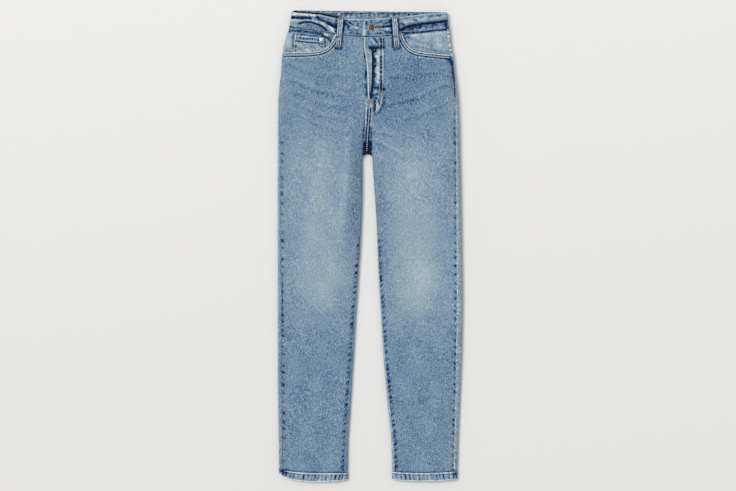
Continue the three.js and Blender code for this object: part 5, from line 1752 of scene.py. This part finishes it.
class Sewing:
    """Collects stitches and makes them into one piece of thread."""

    def __init__(self, name, material):
        self.name = name
        self.material = material
        self.points = []
        self.quads = []
        self.count = 0

    def stitch(self, centre, along, up, length, width):
        across = np.cross(up, along)
        across /= max(np.linalg.norm(across), 1e-9)
        up = np.cross(along, across)
        local = STITCH_POINTS * (length, width, width * 0.8)
        world = centre + local @ np.array([along, across, up])
        self.points.append(world)
        self.quads.append(STITCH_QUADS + self.count)
        self.count += len(world)

    def row(self, points, up, pitch=4.4, length=3.1, width=1.15, seed=1):
        """Stitches along a path. up is a direction for all, or one for each point."""
        points = np.asarray(points, float)
        up = np.broadcast_to(np.asarray(up, float), points.shape)
        steps = np.linalg.norm(np.diff(points, axis=0), axis=1)
        along = np.concatenate([[0], np.cumsum(steps)])
        spread_rng = np.random.default_rng(seed)
        places = np.arange(pitch / 2, along[-1] - pitch / 3, pitch)
        for place in places:
            place += spread_rng.uniform(-0.12, 0.12)
            half = length / 2
            start = [np.interp(place - half, along, points[:, k]) for k in range(3)]
            end = [np.interp(place + half, along, points[:, k]) for k in range(3)]
            middle = np.array([np.interp(place, along, points[:, k]) for k in range(3)])
            normal = np.array([np.interp(place, along, up[:, k]) for k in range(3)])
            direction = np.array(end) - np.array(start)
            direction /= max(np.linalg.norm(direction), 1e-9)
            normal /= max(np.linalg.norm(normal), 1e-9)
            middle = middle - normal * spread_rng.uniform(0, 0.42)
            self.stitch(middle, direction, normal, length, width)

    def bartack(self, start, end, up, width=2.4):
        """A short bar of close stitches that cross it."""
        start, end, up = (np.asarray(v, float) for v in (start, end, up))
        length = np.linalg.norm(end - start)
        along = (end - start) / length
        across = np.cross(up, along)
        across /= np.linalg.norm(across)
        for k, place in enumerate(np.arange(0.3, length, 0.62)):
            lean = 0.18 if k % 2 else -0.18
            direction = across + lean * along
            direction /= np.linalg.norm(direction)
            self.stitch(start + along * place, direction, up, width, 0.62)

    def finish(self):
        if not self.points:
            raise RuntimeError(f"{self.name} has no stitches")
        return make_piece(
            self.name, np.concatenate(self.points), np.concatenate(self.quads), self.material
        )


def offset_line(x, y, distance):
    """A plan line moved sideways, to the left of its direction when distance is positive."""
    dx, dy = np.gradient(x), np.gradient(y)
    size = np.hypot(dx, dy)
    return x - dy / size * distance, y + dx / size * distance


def laid(height, x, y, lift=0.12):
    """Plan points laid on a surface, with the way it faces."""
    look = facing_up(height, x, y)
    return xyz(x, y, height(x, y)) + look * lift, look


def mouth_band_height(leg):
    """Top of the front panel with the doubled edge of the pocket's mouth."""
    def height(x, y):
        return panel_height(leg, x, y) + 0.5 * mouth_band(mouth_distance(leg, x, y))
    return height


def mouth_band(from_mouth):
    return ease(9.6, 8.4, from_mouth) * ease(0, 1.2, from_mouth)


def sew_pockets(thread, tack):
    for leg in SIGN:
        rows = MOUTH_POINTS[leg]
        side = float(front_limits(leg, rows[0][1])[0])
        x = np.linspace(side - SIGN[leg] * 1.5, rows[-1][0] + SIGN[leg] * 0.5, 160)
        y = MOUTH[leg](x)
        away = SIGN[leg]
        height = mouth_band_height(leg)
        for k, distance in enumerate((1.8, 6.6)):
            ox, oy = offset_line(x, y, away * distance)
            keep = oy < WAIST_SEAM(ox) - 1.5
            points, look = laid(height, ox[keep], oy[keep])
            thread.row(points, look, seed=70 + k)
    for inset in (1.7, 9.6):
        x = np.linspace(COIN["left"] + 1.6, COIN["right"] - 1.6, 60)
        y = coin_top_y(x) - inset
        z = coin_height(x, y) + 0.5 + 0.25 * waves(x, y, 35, 22, 7) + 0.1
        thread.row(xyz(x, y, z), (0, 0, 1), seed=75)
    for x_side, inward in ((COIN["left"], 1), (COIN["right"], -1)):
        for inset in (1.6, 6.4):
            x0 = x_side + inward * inset
            y = np.linspace(coin_top_y(x0) - 10.5, float(mouth_y("right", np.array(x0))) - 1, 30)
            x = np.full(y.shape, x0)
            z = coin_height(x, y) + 0.25 * waves(x, y, 35, 22, 7) + 0.15
            thread.row(xyz(x, y, z), (0, 0, 1), seed=76)
    x, y = np.array([-164.4, -164.0]), np.array([475.0, 465.5])
    z = coin_height(x, np.minimum(y, 472)) + 0.6
    tack.bartack((x[0], y[0], z[0]), (x[1], y[1], z[1]), (0, 0, 1), 3.4)
    thread.bartack((x[0] - 3, y[0], z[0]), (x[1] - 3, y[1], z[1]), (0, 0, 1), 3.0)


def sew_fly(thread, tack):
    def height(x, y):
        return np.where(x > CENTRE(y), panel_height("left", x, y), panel_height("right", x, y))

    outer_row = [(28, 468), (28, 420), (28, 366), (27.5, 345), (26, 330), (22.5, 317), (16, 307),
                 (8, 300), (0, 296)]
    inner_row = [(21.4, 468), (21.4, 420), (21.4, 366), (21, 348), (19, 335), (15, 325),
                 (8, 317), (-1, 313)]
    for k, row in enumerate((outer_row, inner_row)):
        share = np.linspace(0, 1, len(row))
        fine = np.linspace(0, 1, 120)
        x = Curve(list(zip(share, [p[0] for p in row])))(fine)
        y = Curve(list(zip(share, [p[1] for p in row])))(fine)
        keep = (y < WAIST_SEAM(x) - 1.5) & (x > CENTRE(y) + 1.2)
        points, look = laid(height, x[keep], y[keep])
        thread.row(points, look, seed=80 + k)
    y = np.linspace(467, 328, 80)
    points, look = laid(partial(panel_height, "left"), FLY_EDGE(y) + 1.6, y)
    thread.row(points, look, seed=83)
    y = np.linspace(318, 211, 70)
    points, look = laid(height, CENTRE(y) + mix(-1.2, 2.1, ease(240, 312, y)), y, 0.3)
    thread.row(points, look, length=2.7, width=1.7, seed=84)
    y = np.linspace(320, 268, 40)
    points, look = laid(height, CENTRE(y) - 4.4, y)
    thread.row(points, look, seed=85)
    for start, end in (((-6.5, 322.8), (2.5, 322.2)), ((20.5, 348.5), (24.6, 337.6))):
        x = np.array([start[0], end[0]])
        y = np.array([start[1], end[1]])
        points, _ = laid(partial(panel_height, "left"), x, y, 0.3)
        tack.bartack(points[0], points[1], (0, 0, 1), 2.8)


def sew_waistband(thread, tack, tonal):
    for inset, (low, high) in ((2.4, (OVERLAP_END_X + 2, 171)), (37.6, (OVERLAP_END_X + 2, 171))):
        for start, end in ((low, high), (-171, OVERLAP_END_X - 2)):
            x = np.linspace(start, end, 140)
            share = inset / BAND_DEPTH
            y = mix(WAIST_TOP_FRONT(x), WAIST_SEAM(x), share)
            z = band_height(x, y) + 0.3
            if end < 0:
                z = z - UNDERLAP_DROP * ease(-33, OVERLAP_END_X - 4, x)
            thread.row(xyz(x, y, z), facing_up(band_height, x, y), seed=90)
    y = np.linspace(506.5, 474, 30)
    x = np.full(y.shape, OVERLAP_END_X + 2.2)
    z = band_height(x, y) + 0.15
    thread.row(xyz(x, y, z), (0, 0, 1), seed=91)
    x = np.linspace(-163, 163, 120)
    z = np.full(x.shape, BACK_LIFT + WAISTBAND_WALL + 0.1)
    thread.row(xyz(x, WAIST_TOP_BACK(x) - 2.4, z), (0, 0, 1), width=0.8, seed=92)
    for share in (0.06, 0.94):
        y = mix(WAIST_TOP_BACK(x), WAIST_BOTTOM_BACK(x), share)
        z = np.full(x.shape, BACK_LIFT - 0.1)
        thread.row(xyz(x, y, z), (0, 0, -1), seed=93)
    back_z = BACK_LIFT + WAISTBAND_WALL + 0.3
    tack.bartack((2.5, 523.5, back_z), (8.5, 523.3, back_z), (0, 0, 1), 2.2)
    hole = np.array(keyhole_outline(BUTTONHOLE["eye"] + 1.1, BUTTONHOLE["length"] + 1.0, 3.7))
    hole = np.concatenate([hole, hole[:1]])
    steps = np.linalg.norm(np.diff(hole, axis=0), axis=1)
    along = np.concatenate([[0], np.cumsum(steps)])
    for place in np.arange(0, along[-1], 0.75):
        x = np.interp(place, along, hole[:, 0])
        y = np.interp(place, along, hole[:, 1])
        ahead = np.array([
            np.interp(place + 0.3, along, hole[:, 0]) - np.interp(place - 0.3, along, hole[:, 0]),
            np.interp(place + 0.3, along, hole[:, 1]) - np.interp(place - 0.3, along, hole[:, 1]),
        ])
        ahead /= max(np.linalg.norm(ahead), 1e-6)
        px, py = BUTTON["x"] + x, BUTTON["y"] + y
        z = float(band_height(np.array([px]), np.array([py]))[0]) + 0.2
        tonal.stitch(np.array([px, py, z]), np.array([-ahead[1], ahead[0], 0.0]),
                     np.array([0.0, 0.0, 1.0]), 2.0, 0.6)


def sew_loops(thread, tack):
    for leg in SIGN:
        for across in (-4.4, 4.4):
            t = np.linspace(0.06, 0.93, 50)
            points = loop_surface(leg, t, np.full(t.shape, across))
            points[:, 2] += 0.3
            thread.row(points, (0, 0, 1), width=0.9, seed=95)
        for t in (0.045, 0.955):
            ends = loop_surface(leg, np.array([t, t]), np.array([-5.6, 5.6]))
            ends[:, 2] += 0.45
            tack.bartack(ends[0], ends[1], (0, 0, 1), 2.4)


def sew_hems(thread):
    for leg in SIGN:
        height = partial(top_height, leg)
        limits = front_limits(leg, -508)
        x = np.linspace(float(limits[0]), float(limits[1]), 120)[3:-3]
        y = mix(HEM_LINE[leg](x), HEM_FOOT[leg](x), 0.14)
        points, look = laid(height, x, y, HEM_PROUD + 0.35)
        thread.row(points, look, seed=98)


def sew_seat(thread):
    """Sewing on the side that lies down: yoke, centre back and back pockets."""
    for leg in SIGN:
        sign = SIGN[leg]
        side = float(SIDE_EDGE[leg](YOKE_SIDE_Y))
        for drop in (-2.0, -7.4):
            t = np.linspace(0.06, 0.99, 60)
            x = mix(side, float(CENTRE(430)), t)
            y = mix(YOKE_SIDE_Y, YOKE_CENTRE_Y, t) + drop
            inside = np.abs(x - side) > 12
            points = xyz(x, y, BACK_LIFT - 0.05)[inside]
            thread.row(points, (0, 0, -1), seed=101)
        for inset in (2.2, 7.6):
            u_in, v_in = 1 - inset / 62, inset / 140
            v = np.linspace(0.02, 1 - v_in, 40)
            for u_side in (-u_in, u_in):
                x, y = pocket_plan(leg, np.full(v.shape, u_side), v)
                thread.row(xyz(x, y, 0.24), (0, 0, -1), seed=102)
            u = np.linspace(-u_in, u_in, 60)
            x, y = pocket_plan(leg, u, np.full(u.shape, 1 - v_in))
            thread.row(xyz(x, y, 0.24), (0, 0, -1), seed=103)
        u = np.linspace(-0.97, 0.97, 60)
        for inset in (2.0, 12.0):
            x, y = pocket_plan(leg, u, np.full(u.shape, inset / 140))
            thread.row(xyz(x, y, 0.24), (0, 0, -1), seed=104)
        if sign > 0:
            for inset in (2.0, 7.0):
                y = np.linspace(412, 250, 60)
                x = CENTRE(y) + inset
                points = xyz(x, y, BACK_LIFT - 0.05)
                thread.row(points, (0, 0, -1), seed=105)


# Settings that a user would change

class JeansCloth(bpy.types.PropertyGroup):
    """Look of the denim"""

    tone: bpy.props.FloatProperty(
        name="Tone", description="How pale the washed denim is", default=0.545,
        min=0.0, max=1.0, subtype="FACTOR",
    )
    contrast: bpy.props.FloatProperty(
        name="Grain", description="How strongly pale and blue threads differ", default=0.55,
        min=0.0, max=2.0,
    )
    facing_tone: bpy.props.FloatProperty(
        name="Facing tone", description="How pale the cloth inside the pockets is", default=0.65,
        min=0.0, max=1.0, subtype="FACTOR",
    )
    edge_tone: bpy.props.FloatProperty(
        name="Waistband tone", description="How pale the waistband and the hems are",
        default=0.585, min=0.0, max=1.0, subtype="FACTOR",
    )


class JeansThread(bpy.types.PropertyGroup):
    """Colours of the sewing thread"""

    pale: bpy.props.FloatVectorProperty(
        name="Topstitching", description="Thread of the seams and hems", subtype="COLOR",
        size=4, min=0.0, max=1.0, default=rgb(210, 207, 196),
    )
    tan: bpy.props.FloatVectorProperty(
        name="Bartacks", description="Thread of the bartacks", subtype="COLOR",
        size=4, min=0.0, max=1.0, default=rgb(150, 100, 64),
    )


class JeansStudio(bpy.types.PropertyGroup):
    """Floor, light and camera"""

    floor: bpy.props.FloatVectorProperty(
        name="Floor", description="Colour of the paper under the jeans", subtype="COLOR",
        size=4, min=0.0, max=1.0, default=(0.805, 0.801, 0.793, 1.0),
    )
    key: bpy.props.FloatProperty(
        name="Key light", description="Strength of the light from the upper left", default=1.7,
        min=0.0,
    )
    fill: bpy.props.FloatProperty(
        name="Fill light", description="Strength of the even light from all round", default=0.60,
        min=0.0,
    )
    height: bpy.props.FloatProperty(
        name="Camera height", description="Distance of the camera above the floor",
        default=4.152, min=0.5, unit="LENGTH",
    )


class JeansSettings(bpy.types.PropertyGroup):
    """All settings of the jeans"""

    cloth: bpy.props.PointerProperty(type=JeansCloth, name="Cloth", description="Denim")
    thread: bpy.props.PointerProperty(type=JeansThread, name="Thread", description="Sewing")
    studio: bpy.props.PointerProperty(type=JeansStudio, name="Studio", description="Stage")


def settings():
    return bpy.context.scene.jeans


def cloth_material(kind):
    """The denim of a group of pieces, made once."""
    name = {"denim": "washed_denim", "edge": "waistband_denim", "facing": "pocket_facing_denim",
            "loop": "belt_loop_denim"}[kind]
    if name in bpy.data.materials:
        return bpy.data.materials[name]
    cloth = settings().cloth
    tone = {"denim": cloth.tone, "edge": cloth.edge_tone,
            "facing": cloth.facing_tone, "loop": cloth.facing_tone - 0.03}[kind]
    return denim_material(name, tone, cloth.contrast)


class JeansBuild:
    """Shared by the operators that build pieces"""

    bl_options = {"REGISTER", "UNDO"}


class JEANS_OT_front_panels(JeansBuild, bpy.types.Operator):
    """Builds both front panels with their folds, pocket mouths and the fly's lap"""

    bl_idname = "jeans.front_panels"
    bl_label = "Front Panels"

    def execute(self, context):
        cuts = {"right": ((0.21, 0.99), 0.166), "left": ((0.212, 0.99), 0.167)}
        for leg, (flat, area) in cuts.items():
            piece = front_panel(leg, cloth_material("denim"))
            sheet(f"front_{leg}")
        return {"FINISHED"}


class JEANS_OT_back_panels(JeansBuild, bpy.types.Operator):
    """Builds both back panels, which wrap onto the top at the seams"""

    bl_idname = "jeans.back_panels"
    bl_label = "Back Panels"

    def execute(self, context):
        for leg in SIGN:
            piece = back_panel(leg, cloth_material("denim"))
            sheet(f"back_{leg}")
        return {"FINISHED"}


class JEANS_OT_yokes(JeansBuild, bpy.types.Operator):
    """Builds the two back yokes"""

    bl_idname = "jeans.yokes"
    bl_label = "Yokes"

    def execute(self, context):
        for leg in SIGN:
            piece = yoke_panel(leg, cloth_material("denim"))
            sheet(f"yoke_{leg}")
        return {"FINISHED"}


class JEANS_OT_hems(JeansBuild, bpy.types.Operator):
    """Builds the turned-up leg ends"""

    bl_idname = "jeans.hems"
    bl_label = "Hems"

    def execute(self, context):
        for leg in SIGN:
            piece = hem_ring(leg, cloth_material("edge"))
            sheet(f"hem_{leg}")
        return {"FINISHED"}


class JEANS_OT_waistband(JeansBuild, bpy.types.Operator):
    """Builds the waistband with its folds and cuts the buttonhole"""

    bl_idname = "jeans.waistband"
    bl_label = "Waistband"

    def execute(self, context):
        piece = waistband(cloth_material("edge"))
        sheet("waistband")
        return {"FINISHED"}


class JEANS_OT_fly_underlap(JeansBuild, bpy.types.Operator):
    """Builds the strip behind the fly"""

    bl_idname = "jeans.fly_underlap"
    bl_label = "Fly Underlap"

    def execute(self, context):
        piece = fly_underlap(cloth_material("edge"))
        sheet("fly_underlap")
        return {"FINISHED"}


class JEANS_OT_front_pockets(JeansBuild, bpy.types.Operator):
    """Builds the facings inside the front pockets and the coin pocket"""

    bl_idname = "jeans.front_pockets"
    bl_label = "Front Pockets"

    def execute(self, context):
        cuts = {"right": ((0.135, 0.066), 0.0062), "left": ((0.125, 0.066), 0.0058)}
        for leg, (flat, area) in cuts.items():
            piece = pocket_facing(leg, cloth_material("facing"))
            sheet(f"pocket_facing_{leg}")
        piece = coin_pocket(cloth_material("facing"))
        sheet("coin_pocket")
        return {"FINISHED"}


class JEANS_OT_back_pockets(JeansBuild, bpy.types.Operator):
    """Builds the patch pockets under the seat"""

    bl_idname = "jeans.back_pockets"
    bl_label = "Back Pockets"

    def execute(self, context):
        for leg in SIGN:
            piece = back_pocket(leg, cloth_material("denim"))
            sheet(f"back_pocket_{leg}")
        return {"FINISHED"}


class JEANS_OT_belt_loops(JeansBuild, bpy.types.Operator):
    """Builds the belt loops in front and behind"""

    bl_idname = "jeans.belt_loops"
    bl_label = "Belt Loops"

    def execute(self, context):
        for leg in SIGN:
            piece = front_loop(leg, cloth_material("loop"))
            sheet(FRONT_LOOPS[leg][0])
        for name, x, top, foot in BACK_LOOPS:
            piece = back_loop(name, x, top, foot, cloth_material("loop"))
            sheet(name)
        return {"FINISHED"}


class JEANS_OT_fittings(JeansBuild, bpy.types.Operator):
    """Builds the waist button and the coin pocket's rivet"""

    bl_idname = "jeans.fittings"
    bl_label = "Button and Rivet"

    def execute(self, context):
        nickel = metal_material(
            "worn_nickel", rgb(196, 184, 162), rgb(112, 100, 86), 0.36
        )
        brass = metal_material(
            "antique_brass", rgb(120, 100, 78), rgb(62, 50, 42), 0.44
        )
        rim, disc = button(nickel, brass)
        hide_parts("button")
        rivet = coin_rivet(metal_material(
            "pale_nickel", rgb(248, 248, 250), rgb(222, 222, 226), 0.3
        ))
        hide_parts("coin_pocket_rivet")
        return {"FINISHED"}


class JEANS_OT_sewing(JeansBuild, bpy.types.Operator):
    """Sews the seams, pockets, fly, loops and hems with single stitches"""

    bl_idname = "jeans.sewing"
    bl_label = "Sewing"

    def execute(self, context):
        thread = settings().thread
        pale = thread_material("topstitching_thread", tuple(thread.pale), rgb(238, 237, 230))
        tan = thread_material("bartack_thread", tuple(thread.tan), rgb(190, 142, 98))
        tonal = thread_material("buttonhole_thread", rgb(52, 72, 104), rgb(112, 132, 158))
        tacks = Sewing("bartacks", tan)
        pockets = Sewing("pocket_topstitching", pale)
        sew_pockets(pockets, tacks)
        white = thread_material("fly_thread", rgb(212, 220, 222), rgb(240, 244, 243))
        fly = Sewing("fly_topstitching", white)
        sew_fly(fly, tacks)
        band = Sewing("waistband_topstitching", pale)
        hole = Sewing("buttonhole_stitching", tonal)
        sew_waistband(band, tacks, hole)
        loops = Sewing("belt_loop_topstitching", pale)
        sew_loops(loops, tacks)
        hems = Sewing("hem_topstitching", pale)
        sew_hems(hems)
        seat = Sewing("seat_topstitching", pale)
        sew_seat(seat)
        for sewing in (tacks, pockets, fly, band, hole, loops, hems, seat):
            sewing.finish()
        return {"FINISHED"}


class JEANS_OT_stage(JeansBuild, bpy.types.Operator):
    """Makes the paper floor, the soft light and the camera straight above"""

    bl_idname = "jeans.stage"
    bl_label = "Stage"

    def execute(self, context):
        studio = settings().studio
        scene = context.scene
        mesh = bpy.data.meshes.new("floor")
        reach = 9.0
        corners = [(-reach, -reach, 0), (reach, -reach, 0), (reach, reach, 0), (-reach, reach, 0)]
        mesh.from_pydata(corners, [], [(0, 1, 2, 3)])
        floor = bpy.data.objects.new("floor", mesh)
        floor.location.z = -0.0004
        scene.collection.objects.link(floor)
        material, tree, shader, place = new_material("floor_paper")
        shader.inputs["Specular IOR Level"].default_value = 0.05
        fibre = scaled_noise(tree, place, (30, 30, 30), 5, 0.6)
        split = tree.nodes.new("ShaderNodeSeparateXYZ")
        tree.links.new(place, split.inputs[0])
        # Painted falloff of light: the paper is painted darker towards the bottom and towards the
        # right
        shade = number(tree, "MULTIPLY_ADD", split.outputs["Y"], 0.75, 0.45)
        shade = number(tree, "ADD", shade, number(tree, "MULTIPLY", split.outputs["X"], -0.12))
        shade = number(tree, "ADD", shade, number(tree, "MULTIPLY", fibre, 0.1))
        near, far = (tuple(v * k for v in studio.floor[:3]) + (1.0,) for k in (0.93, 1.03))
        link_colour(tree, shader, shade, [(0.0, near), (1.0, far)])
        link_roughness(tree, shader, fibre, 0.05, 0.92)
        mesh.materials.append(material)

        world = bpy.data.worlds.new("studio")
        world.use_nodes = True
        background = world.node_tree.nodes["Background"]
        background.inputs["Color"].default_value = (1.0, 0.995, 0.985, 1.0)
        background.inputs["Strength"].default_value = studio.fill
        scene.world = world

        lamp = bpy.data.lights.new("key", "SUN")
        lamp.angle = 0.5
        lamp.energy = studio.key
        lamp.color = (1.0, 0.995, 0.985)
        key = bpy.data.objects.new("key", lamp)
        key.location = (-1.9, 1.05, 3.0)
        key.rotation_euler = (-Vector(key.location)).to_track_quat("-Z", "Y").to_euler()
        scene.collection.objects.link(key)

        lens = bpy.data.cameras.new("camera")
        lens.lens = 90
        lens.sensor_width = 36
        camera = bpy.data.objects.new("camera", lens)
        camera.location = (-0.0045, 0.0011, studio.height)
        scene.collection.objects.link(camera)
        scene.camera = camera
        scene.view_settings.view_transform = "Standard"
        return {"FINISHED"}


class JEANS_PT_pieces(bpy.types.Panel):
    """Pieces of the jeans in the sidebar"""

    bl_label = "Jeans"
    bl_idname = "JEANS_PT_pieces"
    bl_space_type = "VIEW_3D"
    bl_region_type = "UI"
    bl_category = "Jeans"

    def draw(self, context):
        group = context.scene.jeans
        for title, part in (("Cloth", group.cloth), ("Thread", group.thread),
                            ("Studio", group.studio)):
            box = self.layout.box()
            box.label(text=title)
            for key in part.__annotations__:
                box.prop(part, key)
        column = self.layout.column(align=True)
        for operator in PIECE_OPERATORS:
            column.operator(operator.bl_idname)


PIECE_OPERATORS = (
    JEANS_OT_front_panels,
    JEANS_OT_back_panels,
    JEANS_OT_yokes,
    JEANS_OT_hems,
    JEANS_OT_waistband,
    JEANS_OT_fly_underlap,
    JEANS_OT_front_pockets,
    JEANS_OT_back_pockets,
    JEANS_OT_belt_loops,
    JEANS_OT_fittings,
    JEANS_OT_sewing,
    JEANS_OT_stage,
)
CLASSES = (JeansCloth, JeansThread, JeansStudio, JeansSettings, *PIECE_OPERATORS, JEANS_PT_pieces)


def register():
    for cls in CLASSES:
        bpy.utils.register_class(cls)
    bpy.types.Scene.jeans = bpy.props.PointerProperty(
        type=JeansSettings, name="Jeans", description="Settings of the jeans"
    )


def unregister():
    del bpy.types.Scene.jeans
    for cls in reversed(CLASSES):
        bpy.utils.unregister_class(cls)


def main():
    register()
    bpy.ops.jeans.stage()
    bpy.ops.jeans.front_panels()
    bpy.ops.jeans.back_panels()
    bpy.ops.jeans.yokes()
    bpy.ops.jeans.hems()
    bpy.ops.jeans.waistband()
    bpy.ops.jeans.fly_underlap()
    bpy.ops.jeans.front_pockets()
    bpy.ops.jeans.back_pockets()
    bpy.ops.jeans.belt_loops()
    bpy.ops.jeans.fittings()
    bpy.ops.jeans.sewing()


if __name__ == "__main__":
    main()
